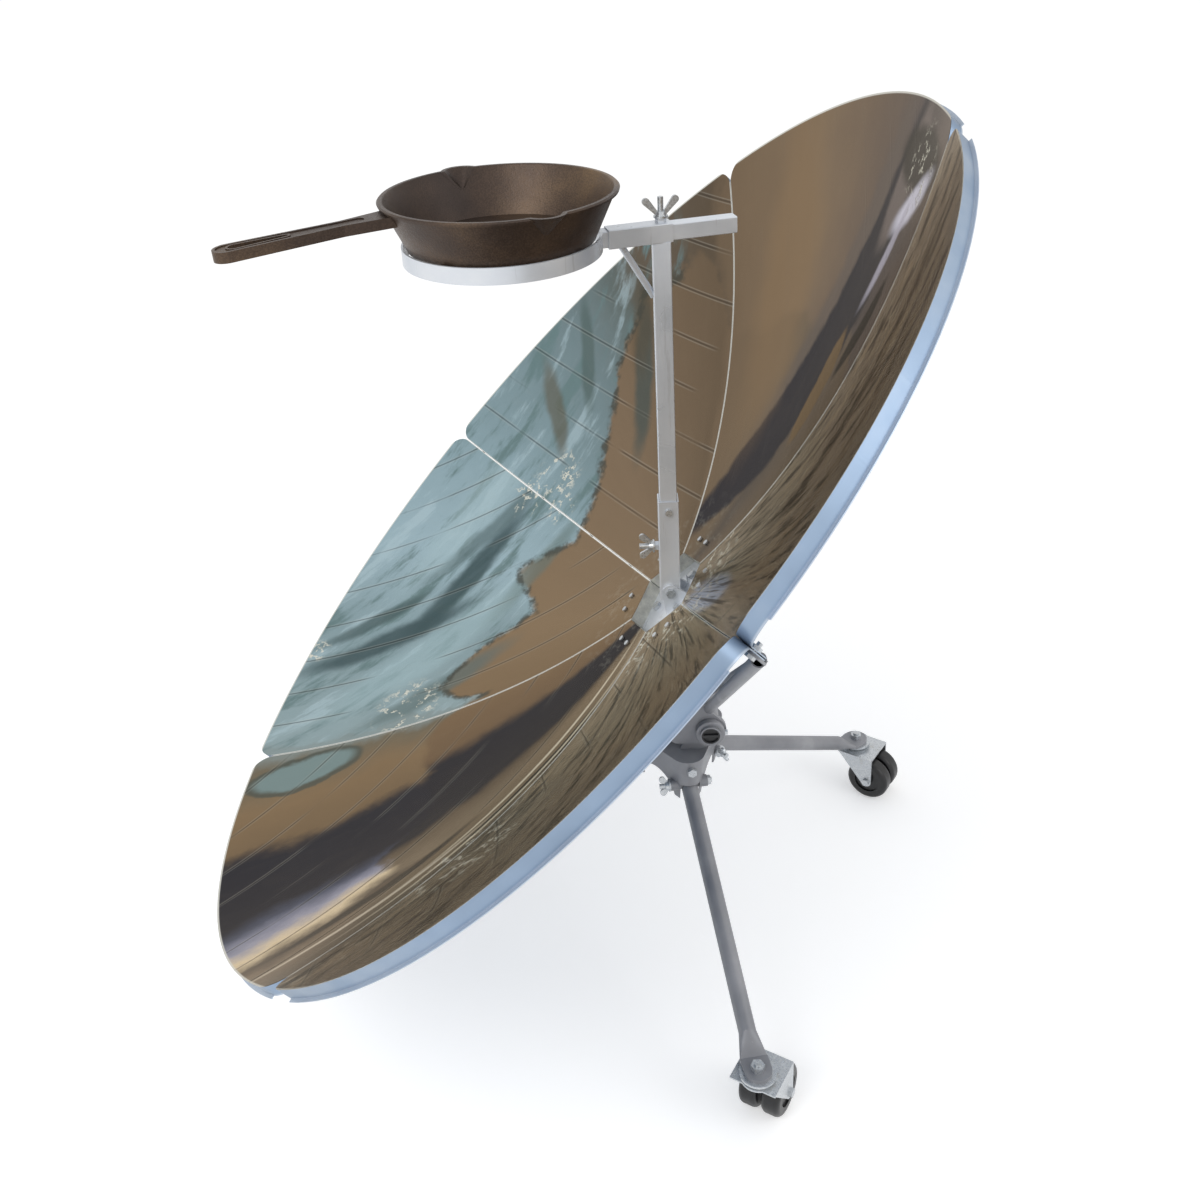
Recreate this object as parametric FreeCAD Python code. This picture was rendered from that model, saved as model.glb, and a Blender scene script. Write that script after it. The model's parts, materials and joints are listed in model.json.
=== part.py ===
import FreeCAD, Part
import math
import os

# Parabolic solar cooker: a dish of six pressed petals on a folding three-leg stand with
# twin-wheel casters, and a post with an arm and a ring that holds a skillet.
# Millimetres, +Z up, floor at z = 0, origin under the middle. The dish faces -X and up.

V = FreeCAD.Vector
X_AXIS = V(1, 0, 0)
Y_AXIS = V(0, 1, 0)
Z_AXIS = V(0, 0, 1)
ORIGIN = V(0, 0, 0)

# Dish
rim_radius = 750.0
dish_depth = 242.0
dish_elevation = 45.0
apex_x = 140.0
apex_z = 594.0
petal_count = 6
seam_turn = -7.4
sheet = 1.2
seam_gap = 1.2
skirt_depth = 21.0
lip_width = 4.5
corner_radius = 28.0
tip_apothem = 65.0
stay_bolt_place = 500.0
ear_radius = 13.0
ear_drop = 24.0
seam_bolt_drop = 11.0

# Hub plate and the bracket behind it
hub_radius = 128.0
hub_thickness = 4.0
hub_bolt_place = 95.0
hub_bolt_spread = 13.0
bracket_sheet = 4.0
bracket_gap = 0.5
bracket_low = -165.0
bracket_web_low = -60.0
bracket_high = 75.0
bracket_web_depth = 25.0
bracket_shoulder_drop = 8.0
bracket_lobe = 25.0
bracket_edge = -85.0
stop_lobe = 12.0
stop_lobe_u = -153.0
stop_lobe_n = -167.0
centre_bolt_u = 38.0
centre_bolt_y = 28.0

# Stays from the bracket to the seams
stay_radius = 6.0
rim_stay_radius = 8.0
stay_wall = 1.5
stay_tongue = 3.0
stay_pad_radius = 8.5
side_foot = (-94.0, -130.0)
side_start = (-68.0, -138.0)
middle_foot = (55.0, -42.0)
middle_start = (70.0, -44.5)
rim_stay_n = -166.0
rim_stay_inset = 30.0
rim_stay_room = 2.0

# Tilt tube, which turns in the yoke of the stand
tilt_x = 199.0
tilt_z = 379.0
tilt_tube_radius = 16.0
tilt_tube_wall = 2.0
tilt_tube_half = 68.0
plug_depth = 8.0
plug_bar_width = 4.0
collar_radius = 22.0
collar_width = 10.0

# Stand head and legs
stand_x = 154.0
shell_sheet = 3.0
shell_corner_place = 58.0
shell_top_radius = 26.5
shell_low_radius = 16.5
shell_bottom = 262.0
shell_top = 342.0
shell_arch_radius = 36.0
head_plate = 4.0
yoke_half = 48.0
yoke_sheet = 4.0
yoke_lobe = 25.0
yoke_base_low = 152.0
yoke_base_high = 186.0
corner_screw_z = 325.0
leg_azimuths = {"near": -80.0, "right": 40.0, "back": 160.0}
leg_tube_radius = 12.5
leg_wall = 2.0
leg_pivot_place = 60.0
leg_pivot_z = 286.0
leg_inner_reach = 20.0
leg_tube_reach = 370.0
leg_foot_place = 438.0
foot_thickness = 5.0
foot_width = 39.0
foot_flat_start = 418.0
leg_aim_inset = 20.0
leg_bush_radius = 8.0
leg_wing_span = 30.0
pivot_bolt_radius = 4.0
boss_radius = 9.0
boss_length = 14.0

# Casters
wheel_radius = 37.5
wheel_width = 28.0
wheel_gap = 5.0
tread_rounding = 8.0
axle_radius = 4.0
caster_trail = 36.0
fork_sheet = 2.5
fork_crown_room = 9.0
race_height = 9.1
fork_crown_radius = 24.0
fork_boss_radius = 9.5
fork_front = 45.5
fork_back = -19.0
race_radius = 25.5
stem_radius = 5.0
caster_headings = {"near": 60.0, "right": -34.0, "back": 200.0}

# Post, arm and ring
post_x = 146.0
post_pivot_z = 605.0
lug_sheet = 4.0
lug_radius = 12.0
lug_flange_low = -22.0
lug_flange_high = 28.0
lug_flange_out = 37.0
sleeve_wall = 2.0
sleeve_below_pivot = 15.0
sleeve_top = 753.0
guide_screw_z = 737.0
post_wing_z = 675.0
post_wing_span = 40.0
arm_wing_span = 50.0
post_width = 25.0
post_wall = 1.5
post_bottom = 620.0
arm_z = 1148.0
arm_azimuth = 193.5
arm_sleeve_wall = 1.5
arm_sleeve_front = 74.0
arm_sleeve_back = 13.0
arm_width = 22.0
arm_wall = 1.5
arm_back = 102.0
brace_radius = 4.5
brace_reach = 55.0
brace_drop = 88.0
ring_centre_place = 213.0
ring_radius = 130.0
ring_bar = 3.0
ring_height = 22.0
ring_top = 1164.0
ring_tab_length = 15.0
ring_tab_width = 16.0
ring_tab_thickness = 3.0
ring_tab_drop = 6.0
ring_tab_count = 4

# Skillet
pan_rim_radius = 155.0
pan_base_radius = 121.0
pan_height = 68.0
pan_wall = 4.5
pan_floor = 5.5
pan_bead = 3.0
pan_bead_height = 6.0
handle_azimuth = 203.0
handle_reach = 365.0
handle_root_radius = 22.0
handle_neck_place = 205.0
handle_neck_radius = 13.0
handle_tip_radius = 19.0
handle_thickness = 14.0
handle_top_drop = 8.0
handle_tip_drop = 12.0
hole_root_place = 275.0
hole_tip_place = 337.0
hole_root_radius = 3.5
hole_tip_radius = 8.5
handle_rim = 4.0
handle_dish = 1.5
spout_azimuths = (115.0, 297.0)
spout_place = 138.0
spout_radius = 28.0
spout_depth = 26.0

# Screws: shank radius, head or nut width across flats, head height
m6 = (3.0, 10.0, 4.0)
m6_low = (3.0, 8.0, 2.5)
m8 = (4.0, 13.0, 5.5)
m10 = (5.0, 17.0, 8.0)

# Fits
running_fit = 0.05
fixed_fit = 0.1
slide_gap = 0.5
bolt_play = 0.3
side_gap = 0.4

focal_length = rim_radius ** 2 / (4.0 * dish_depth)
ear_place = rim_radius - corner_radius - ear_radius - 3.0
seam_bolt_places = (180.0, 330.0, stay_bolt_place, ear_place)
stay_tongues = ((-1, stay_bolt_place, 1), (0, stay_bolt_place, 1), (1, stay_bolt_place, 1),
                (-1, ear_place, -1), (1, ear_place, 1))
half_angle = 180.0 / petal_count
sheet_outer = seam_gap / 2.0 + sheet
plate_inner = yoke_half + bracket_gap
plate_outer = plate_inner + bracket_sheet
fork_crown_top = 2.0 * wheel_radius + fork_crown_room + fork_sheet
leg_foot_z = fork_crown_top + side_gap + race_height
leg_slope = math.degrees(math.atan2(leg_pivot_z - leg_foot_z - foot_thickness / 2.0,
                                    leg_foot_place - leg_aim_inset - leg_pivot_place))
leg_bush_half = leg_tube_radius + 2.0
boss_inner = leg_bush_half + slide_gap
boss_outer = boss_inner + boss_length
sleeve_width = post_width + 2.0 * (sleeve_wall + slide_gap)
pan_seat = ring_top - ring_tab_drop
arm_sleeve_width = arm_width + 2.0 * (arm_sleeve_wall + slide_gap)


def at(x=0.0, y=0.0, z=0.0):
    return V(x, y, z)


def moved(shape, offset):
    copy = shape.copy()
    copy.translate(offset)
    return copy


def turned(shape, centre, axis, angle):
    copy = shape.copy()
    copy.rotate(centre, axis, angle)
    return copy


def placed(shape, placement):
    copy = shape.copy()
    copy.transformShape(placement.toMatrix())
    return copy


def fused(shapes):
    whole = shapes[0].fuse(shapes[1:])
    return whole.removeSplitter()


def group(shapes):
    return Part.makeCompound(shapes)


def rod(start, end, radius):
    run = end - start
    return Part.makeCylinder(radius, run.Length, start, run)


def box_between(low, high):
    return Part.makeBox(high.x - low.x, high.y - low.y, high.z - low.z, low)


def hexagon(width, height, base, axis):
    """A hexagonal prism standing on base along axis."""
    radius = width / math.sqrt(3.0)
    corners = [at(radius * math.cos(math.radians(60 * i)), radius * math.sin(math.radians(60 * i)))
               for i in range(7)]
    prism = Part.Face(Part.makePolygon(corners)).extrude(at(z=height))
    return placed(prism, FreeCAD.Placement(base, FreeCAD.Rotation(Z_AXIS, axis)))


def hull_face(circles):
    """The face inside a belt round circles (x, y, radius) that are listed anticlockwise."""
    count = len(circles)
    normals = []
    for i in range(count):
        ax, ay, a_radius = circles[i]
        bx, by, b_radius = circles[(i + 1) % count]
        span = math.hypot(bx - ax, by - ay)
        dx = (bx - ax) / span
        dy = (by - ay) / span
        lean = (a_radius - b_radius) / span
        side = math.sqrt(1.0 - lean * lean)
        normals.append((dy * side + dx * lean, -dx * side + dy * lean))
    edges = []
    for i in range(count):
        x, y, radius = circles[i]
        before = normals[i - 1]
        after = normals[i]
        if radius > 0.01:
            first = math.atan2(before[1], before[0])
            last = math.atan2(after[1], after[0])
            while last < first:
                last += 2.0 * math.pi
            points = [at(x + radius * math.cos(a), y + radius * math.sin(a))
                      for a in (first, (first + last) / 2.0, last)]
            edges.append(Part.Arc(*points).toShape())
        bx, by, b_radius = circles[(i + 1) % count]
        edges.append(Part.makeLine(at(x + radius * after[0], y + radius * after[1]),
                                   at(bx + b_radius * after[0], by + b_radius * after[1])))
    return Part.Face(Part.Wire(edges))


def hull_plate(circles, low, thickness):
    """A flat plate in the XY plane between z = low and low + thickness."""
    return moved(hull_face(circles), at(z=low)).extrude(at(z=thickness))


def upright_plate(circles, low, thickness):
    """A plate in the XZ plane; the circles are (x, z, radius) and y runs up from low."""
    face = turned(hull_face(circles), ORIGIN, X_AXIS, 90)
    return moved(face, at(y=low)).extrude(at(y=thickness))


def axes_at(base, z_axis, x_axis):
    """The placement that puts local Z along z_axis and local X along x_axis."""
    y_axis = z_axis.cross(x_axis)
    return FreeCAD.Placement(FreeCAD.Matrix(x_axis.x, y_axis.x, z_axis.x, base.x,
                                            x_axis.y, y_axis.y, z_axis.y, base.y,
                                            x_axis.z, y_axis.z, z_axis.z, base.z,
                                            0, 0, 0, 1))


def square_tube(width, wall, low, high, placement):
    """A square tube between low and high on the placement's Z, with rounded long edges."""
    half = width / 2.0
    outer = box_between(at(-half, -half, low), at(half, half, high))
    long_edges = [edge for edge in outer.Edges if edge.BoundBox.ZLength > (high - low) / 2.0]
    outer = outer.makeFillet(wall, long_edges)
    inside = half - wall
    tube = outer.cut(box_between(at(-inside, -inside, low - 1), at(inside, inside, high + 1)))
    return placed(tube, placement)


def bent_tube(points, radius, wall):
    """A round tube through points, with round elbows."""
    def solid(size):
        rods = [rod(a, b, size) for a, b in zip(points, points[1:])]
        elbows = [Part.makeSphere(size, point) for point in points[1:-1]]
        return fused(rods + elbows) if len(rods) > 1 else rods[0]
    return solid(radius).cut(solid(radius - wall))


def bolt(base, axis, size, reach, head="hex"):
    """A bolt whose head sits on base and whose shank runs reach against axis."""
    shank, width, height = size
    if head == "hex":
        cap = hexagon(width, height, base, axis)
    else:
        cap = Part.makeCylinder(width / 2.0, height, base, axis)
    return fused([cap, Part.makeCylinder(shank, reach, base, axis * -1.0)])


def nut(base, axis, size):
    """A nut that sits on base, on the side that axis points to."""
    shank, width, height = size
    body = hexagon(width, height, base, axis)
    return body.cut(Part.makeCylinder(shank + fixed_fit, height * 3, base - axis * height, axis))


def wing_screw(base, axis, wing_axis, size, reach, span):
    """A thumb screw: a flanged boss on base, a stud end, two splayed ears and a shank."""
    shank, width, height = size
    rise = span * 0.55
    flange = Part.makeCylinder(width * 0.75, 2.5, base, axis)
    boss = Part.makeCone(width * 0.6, width * 0.48, height, base + axis * 2.5, axis)
    stud = Part.makeCylinder(shank, rise, base, axis)
    shaft = Part.makeCylinder(shank, reach, base, axis * -1.0)
    ears = []
    for side in (-1.0, 1.0):
        inner = (side * width * 0.35, height * 0.8, 2.5)
        outer = (side * (span / 2.0 - 5.0), rise - 5.0, 5.0)
        pair = (inner, outer) if side > 0 else (outer, inner)
        ears.append(upright_plate(pair, -2.0, 4.0))
    wings = [placed(ear, axes_at(base, axis, wing_axis)) for ear in ears]
    return fused([flange, boss, stud, shaft] + wings)


def unit(vector):
    return V(vector.x, vector.y, vector.z).normalize()


# Dish


def dish_height(radius):
    return radius ** 2 / (4.0 * focal_length)


def dish_placement():
    return FreeCAD.Placement(at(apex_x, 0, apex_z),
                             FreeCAD.Rotation(Y_AXIS, dish_elevation - 90.0))


def on_dish(shape):
    return placed(shape, dish_placement())


def dish_local(x, y, z):
    return dish_placement().inverse().multVec(at(x, y, z))


def seam_angle(index):
    return seam_turn + index * 360.0 / petal_count


def seam_bolt_height(place):
    return dish_height(place) - (ear_drop if place == ear_place else seam_bolt_drop)


def parabola_edge(inner, outer, drop):
    """The dish's meridian from radius inner to outer, lowered by drop."""
    curve = Part.BezierCurve()
    middle = inner * outer / (4.0 * focal_length)
    curve.setPoles([at(inner, 0, dish_height(inner) - drop),
                    at((inner + outer) / 2.0, 0, middle - drop),
                    at(outer, 0, dish_height(outer) - drop)])
    return curve.toShape()


def turned_profile(edges, span):
    face = Part.Face(Part.Wire(Part.__sortEdges__(edges)))
    face = turned(face, ORIGIN, Z_AXIS, -span / 2.0)
    return face.revolve(ORIGIN, Z_AXIS, span)


def petal_block():
    """A sector between the dish face and the lower edge of the folds."""
    inner = tip_apothem - 10.0
    outer = rim_radius + 10.0
    step = hub_radius + 2.0
    corners = [at(inner, 0, dish_height(inner)), at(inner, 0, -skirt_depth),
               at(step, 0, -skirt_depth), at(step, 0, dish_height(step) - skirt_depth)]
    edges = [parabola_edge(inner, outer, 0.0), parabola_edge(step, outer, skirt_depth)]
    edges += [Part.makeLine(a, b) for a, b in zip(corners, corners[1:])]
    edges.append(Part.makeLine(at(outer, 0, dish_height(outer) - skirt_depth),
                               at(outer, 0, dish_height(outer))))
    return turned_profile(edges, 2.0 * half_angle + 4.0)


def petal_hollow():
    """All the space behind the dish sheet."""
    inner = tip_apothem - 12.0
    outer = rim_radius + 12.0
    bottom = -skirt_depth * 2.0
    corners = [at(outer, 0, dish_height(outer) - sheet), at(outer, 0, bottom),
               at(inner, 0, bottom), at(inner, 0, dish_height(inner) - sheet)]
    edges = [parabola_edge(inner, outer, sheet)]
    edges += [Part.makeLine(a, b) for a, b in zip(corners, corners[1:])]
    return turned_profile(edges, 2.0 * half_angle + 8.0)


def petal_outline(inset):
    """The petal seen along the dish axis, as a tall prism: tip, two sides, rounded rim corners."""
    half = math.radians(half_angle)
    gap = seam_gap / 2.0 + inset
    rim = rim_radius - inset
    corner = corner_radius - inset
    apothem = tip_apothem + inset
    along = at(math.cos(half), math.sin(half))
    outward = at(-math.sin(half), math.cos(half))
    corner_run = math.sqrt((rim - corner) ** 2 - (gap + corner) ** 2)
    centre = along * corner_run - outward * (gap + corner)
    tip_run = (apothem - gap * math.sin(half)) / math.cos(half)
    tip = along * tip_run - outward * gap
    side_end = along * corner_run - outward * gap
    arc_end = centre * (rim / (rim - corner))
    arc_middle = centre + unit(outward + unit(centre)) * corner

    def mirrored(point):
        return at(point.x, -point.y)

    edges = [Part.makeLine(mirrored(tip), mirrored(side_end)),
             Part.Arc(mirrored(side_end), mirrored(arc_middle), mirrored(arc_end)).toShape(),
             Part.Arc(mirrored(arc_end), at(rim), arc_end).toShape(),
             Part.Arc(arc_end, arc_middle, side_end).toShape(),
             Part.makeLine(side_end, tip),
             Part.makeLine(tip, mirrored(tip))]
    face = moved(Part.Face(Part.Wire(edges)), at(z=-skirt_depth * 3.0))
    return face.extrude(at(z=dish_depth * 2.0))


def petal_lip():
    """The narrow out-turned edge round the bottom of the rim fold."""
    gap = seam_gap / 2.0
    run = math.degrees(math.asin((gap + corner_radius) / (rim_radius - corner_radius)))
    low = dish_height(rim_radius) - skirt_depth
    inner = rim_radius - sheet
    outer = rim_radius + lip_width
    corners = [at(inner, 0, low), at(outer, 0, low), at(outer, 0, low + sheet),
               at(inner, 0, low + sheet), at(inner, 0, low)]
    edges = [Part.makeLine(a, b) for a, b in zip(corners, corners[1:])]
    return turned_profile(edges, 2.0 * (half_angle - run))


def seam_plate(circles, side):
    """A sheet in the fold of one long side of the petal; circles are (radius, height, size)."""
    low = -sheet_outer if side > 0 else seam_gap / 2.0
    return turned(upright_plate(circles, low, sheet), ORIGIN, Z_AXIS, side * half_angle)


def petal_ear(side):
    top = dish_height(ear_place) - skirt_depth * 0.5
    centre = (ear_place, dish_height(ear_place) - ear_drop, ear_radius)
    low = (ear_place - ear_radius, top - 5.0, 0.0)
    high = (ear_place + ear_radius - 3.0, top, 0.0)
    return seam_plate([centre, high, low], side)


def petal_holes():
    holes = []
    for place in seam_bolt_places:
        height = seam_bolt_height(place)
        for side in (-1, 1):
            hole = rod(at(place, -10, height), at(place, 10, height), m6[0] + bolt_play)
            holes.append(turned(hole, ORIGIN, Z_AXIS, side * half_angle))
    for side in (-1, 1):
        y = side * hub_bolt_spread
        holes.append(rod(at(hub_bolt_place, y, -skirt_depth), at(hub_bolt_place, y, 20.0),
                         m6[0] + bolt_play))
    return holes


def petal():
    """One petal: a pressed tray with a parabolic face and folded edges all round."""
    outer = petal_block().common(petal_outline(0.0))
    hollow = petal_hollow().common(petal_outline(sheet))
    tray = outer.cut(hollow)
    tray = tray.fuse([petal_lip(), petal_ear(1), petal_ear(-1)])
    return tray.cut(petal_holes())


def petal_parts():
    shape = petal()
    parts = {}
    for i in range(petal_count):
        middle = seam_angle(i) + half_angle
        parts["petal_%d" % (i + 1)] = on_dish(turned(shape, ORIGIN, Z_AXIS, middle))
    return parts


def tongue_room(seam, place, side):
    """The thickness of the stay tongue, if any, on one side of a seam at a bolt."""
    found = [1 for stay in stay_tongues
             if (stay[0] % petal_count, stay[1], stay[2]) == (seam, place, side)]
    return stay_tongue * len(found)


def seam_fasteners():
    bolts = []
    nuts = []
    for seam in range(petal_count):
        for place in seam_bolt_places:
            height = seam_bolt_height(place)
            head_seat = sheet_outer + tongue_room(seam, place, -1)
            nut_seat = sheet_outer + tongue_room(seam, place, 1)
            head = bolt(at(place, -head_seat, height), at(y=-1), m6, head_seat + nut_seat + 8.0)
            lock = nut(at(place, nut_seat, height), Y_AXIS, m6)
            bolts.append(on_dish(turned(head, ORIGIN, Z_AXIS, seam_angle(seam))))
            nuts.append(on_dish(turned(lock, ORIGIN, Z_AXIS, seam_angle(seam))))
    return {"petal_seam_bolts": group(bolts), "petal_seam_nuts": group(nuts)}


def hub_bolt_spots():
    spots = []
    for i in range(petal_count):
        turn = FreeCAD.Rotation(Z_AXIS, seam_angle(i) + half_angle)
        for side in (-1, 1):
            spots.append(turn.multVec(at(hub_bolt_place, side * hub_bolt_spread)))
    return spots


def centre_bolt_spots():
    return [at(u, y) for u in (-centre_bolt_u, centre_bolt_u)
            for y in (-centre_bolt_y, centre_bolt_y)]


def lug_screw_spots():
    middle = (lug_flange_low + lug_flange_high) / 2.0
    return [at(middle, side * centre_bolt_y) for side in (-1, 1)]


def hub_plate():
    """The round plate that all six petals and the bracket are bolted to."""
    plate = Part.makeCylinder(hub_radius, hub_thickness, at(z=-skirt_depth - hub_thickness))
    rim = [edge for edge in plate.Edges if abs(edge.Length - 2 * math.pi * hub_radius) < 0.1]
    plate = plate.makeChamfer(0.8, rim)
    low = at(z=-skirt_depth - hub_thickness - 1)
    holes = [Part.makeCylinder(m6[0] + bolt_play, hub_thickness + 2, spot + low)
             for spot in hub_bolt_spots() + lug_screw_spots()]
    holes += [Part.makeCylinder(m8[0] + bolt_play, hub_thickness + 2, spot + low)
              for spot in centre_bolt_spots()]
    return on_dish(plate.cut(holes))


def hub_fasteners():
    """Screws through the petal tips, the bushes under the tips, and the nuts behind the plate."""
    reach = m6[1] / 2.0 + 0.5
    head_seat = dish_height(hub_bolt_place + reach) + 0.05
    bush_top = dish_height(hub_bolt_place - reach) - sheet - 0.05
    back = -skirt_depth - hub_thickness
    screws = []
    bushes = []
    nuts = []
    for spot in hub_bolt_spots():
        length = head_seat - back + m6[2] + 1.5
        screws.append(bolt(spot + at(z=head_seat), Z_AXIS, m6_low, length, "round"))
        bush = Part.makeCylinder(reach, bush_top + skirt_depth, spot + at(z=-skirt_depth))
        bore = Part.makeCylinder(m6[0] + bolt_play, skirt_depth * 2, spot + at(z=-skirt_depth - 1))
        bushes.append(bush.cut(bore))
        nuts.append(nut(spot + at(z=back), Z_AXIS * -1, m6))
    return {"hub_screws": on_dish(group(screws)), "hub_bushes": on_dish(group(bushes)),
            "hub_nuts": on_dish(group(nuts))}


def bracket_fasteners():
    front = -skirt_depth
    back = -skirt_depth - hub_thickness - bracket_sheet
    bolts = []
    nuts = []
    for spot in centre_bolt_spots():
        bolts.append(bolt(spot + at(z=front), Z_AXIS, m8, front - back + m8[2] + 2.0))
        nuts.append(nut(spot + at(z=back), Z_AXIS * -1, m8))
    return {"bracket_bolts": on_dish(group(bolts)), "bracket_nuts": on_dish(group(nuts))}


def dish_bracket():
    """The bent channel behind the hub plate that carries the dish on the tilt tube."""
    top = -skirt_depth - hub_thickness
    low = top - bracket_sheet
    tilt = dish_local(tilt_x, 0, tilt_z)
    shoulder = top - bracket_shoulder_drop
    web = box_between(at(bracket_web_low, -plate_outer, low), at(bracket_high, plate_outer, top))
    outline = [(bracket_low, shoulder, 0), (stop_lobe_u, stop_lobe_n, stop_lobe),
               (tilt.x, tilt.z, bracket_lobe), (bracket_edge, tilt.z + 40, 0),
               (bracket_web_low, low - 30, 0),
               (bracket_high - 8, low - bracket_web_depth + 8, 8),
               (bracket_high, top, 0), (bracket_web_low, top, 0), (bracket_web_low, shoulder, 0)]
    cheeks = [upright_plate(outline, y, bracket_sheet) for y in (plate_inner, -plate_outer)]
    body = fused([web] + cheeks)
    holes = [rod(at(tilt.x, -plate_outer - 5, tilt.z), at(tilt.x, plate_outer + 5, tilt.z),
                 tilt_tube_radius + fixed_fit),
             rod(at(side_foot[0], -plate_outer - 5, side_foot[1]),
                 at(side_foot[0], plate_outer + 5, side_foot[1]), m6[0] + bolt_play),
             rod(at(middle_foot[0], -plate_outer - 5, middle_foot[1]),
                 at(middle_foot[0], -plate_inner + 5, middle_foot[1]), m6[0] + bolt_play)]
    holes += [Part.makeCylinder(m8[0] + bolt_play, 20, spot + at(z=low - 5))
              for spot in centre_bolt_spots()]
    return on_dish(body.cut(holes))


def stay_head(stay, end_place, end_height):
    """The flattened upper end of a stay, bolted to the fold of a seam."""
    seam, place, side = stay
    height = seam_bolt_height(place)
    low = sheet_outer if side > 0 else -sheet_outer - stay_tongue
    pad = upright_plate([(end_place, end_height, stay_pad_radius),
                         (place, height, stay_pad_radius)], low, stay_tongue)
    hole = rod(at(place, -15, height), at(place, 15, height), m6[0] + bolt_play)
    return turned(pad.cut(hole), ORIGIN, Z_AXIS, seam_angle(seam))


def stay_end(stay, end_place, end_height):
    seam, place, side = stay
    turn = FreeCAD.Rotation(Z_AXIS, seam_angle(seam))
    return turn.multVec(at(end_place, side * (sheet_outer + stay_tongue / 2.0), end_height))


def cheek_stay(stay, side, foot, start):
    """A thin stay from a cheek of the bracket to the fold of a seam."""
    place = stay[1]
    height = dish_height(place) - skirt_depth - 14.0
    end = stay_end(stay, place, height)
    low = at(start[0], side * (plate_outer + side_gap + stay_radius), start[1])
    tube = bent_tube([low, end], stay_radius, stay_wall)
    y = plate_outer if side > 0 else -plate_outer - stay_tongue
    circles = [(foot[0], foot[1], stay_pad_radius), (start[0], start[1], stay_pad_radius)]
    pad = upright_plate(circles, y, stay_tongue)
    hole = rod(at(foot[0], side * plate_inner, foot[1]),
               at(foot[0], side * (plate_outer + 2 * stay_radius), foot[1]), m6[0] + bolt_play)
    return on_dish(fused([tube, pad, stay_head(stay, place, height)]).cut(hole))


def rim_stay(stay, side):
    """A thick stay welded to the edge of a cheek and bolted to the ears of a seam at the rim."""
    place = stay[1] - rim_stay_inset
    height = dish_height(place) - skirt_depth - rim_stay_radius - rim_stay_room
    end = stay_end(stay, place, height)
    low = at(bracket_edge, side * (plate_inner + plate_outer) / 2.0, rim_stay_n)
    tube = bent_tube([low - unit(end - low) * 20.0, end], rim_stay_radius, stay_wall)
    edge = bracket_edge + fixed_fit
    behind = box_between(at(edge - 60, -150, rim_stay_n - 60), at(edge, 150, rim_stay_n + 60))
    return on_dish(fused([tube.cut(behind), stay_head(stay, place, height)]))


def stay_fasteners():
    bolts = []
    nuts = []
    for side, foot in ((-1, side_foot), (1, side_foot), (-1, middle_foot)):
        outside = at(foot[0], side * (plate_outer + stay_tongue), foot[1])
        inside = at(foot[0], side * plate_inner, foot[1])
        length = bracket_sheet + stay_tongue + 8.0
        bolts.append(bolt(outside, at(y=side), m6, length))
        nuts.append(nut(inside, at(y=-side), m6))
    return {"stay_foot_bolts": on_dish(group(bolts)), "stay_foot_nuts": on_dish(group(nuts))}


# Tilt tube


def along_tilt(y_low, y_high, radius):
    return rod(at(tilt_x, y_low, tilt_z), at(tilt_x, y_high, tilt_z), radius)


def tilt_tube():
    half = tilt_tube_half
    tube = along_tilt(-half, half, tilt_tube_radius)
    return tube.cut(along_tilt(-half - 1, half + 1, tilt_tube_radius - tilt_tube_wall))


def tube_end_plug(side):
    """A black end plug with a raised bar across it."""
    bore = tilt_tube_radius - tilt_tube_wall - fixed_fit
    face = side * tilt_tube_half
    inner = face - side * plug_depth
    body = along_tilt(min(inner, face), max(inner, face), bore)
    pocket = along_tilt(min(face - side * 3, face), max(face - side * 3, face), bore - 2.0)
    bar = box_between(at(tilt_x - bore + 1, min(inner, face), tilt_z - plug_bar_width / 2.0),
                      at(tilt_x + bore - 1, max(inner, face), tilt_z + plug_bar_width / 2.0))
    return fused([body.cut(pocket), bar])


def tilt_collar(side):
    inner = plate_outer + bracket_gap
    low = side * inner if side > 0 else -inner - collar_width
    ring = along_tilt(low, low + collar_width, collar_radius)
    rims = [edge for edge in ring.Edges
            if abs(edge.Length - 2 * math.pi * collar_radius) < 0.1]
    ring = ring.makeChamfer(0.8, rims)
    ring = ring.cut(along_tilt(low - 1, low + collar_width + 1, tilt_tube_radius + fixed_fit))
    middle = side * (inner + collar_width / 2.0)
    hole = rod(at(tilt_x, middle, tilt_z), at(tilt_x + 40, middle, tilt_z), m6[0] + fixed_fit)
    return ring.cut(hole)


def collar_screw(side):
    middle = side * (plate_outer + bracket_gap + collar_width / 2.0)
    seat = at(tilt_x + collar_radius + 0.3, middle, tilt_z)
    length = collar_radius - tilt_tube_radius - 0.1
    return bolt(seat, X_AXIS, (m6[0], 8.0, 4.0), length, "round")


# Stand


def at_azimuth(shape, azimuth):
    return moved(turned(shape, ORIGIN, Z_AXIS, azimuth), at(x=stand_x))


def shell_circles(radius):
    circles = []
    for name in ("near", "right", "back"):
        angle = math.radians(leg_azimuths[name])
        circles.append((stand_x + shell_corner_place * math.cos(angle),
                        shell_corner_place * math.sin(angle), radius))
    return circles


def shell_radius(z):
    """The corner radius of the shell at height z; the shell narrows towards the legs."""
    share = (z - shell_bottom) / (shell_top - shell_bottom)
    return shell_low_radius + share * (shell_top_radius - shell_low_radius)


def shell_loft(low, high, inset):
    wires = []
    for z in (low, high):
        face = moved(hull_face(shell_circles(shell_radius(z) - inset)), at(z=z))
        wires.append(face.OuterWire)
    return Part.makeLoft(wires, True, True)


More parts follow.
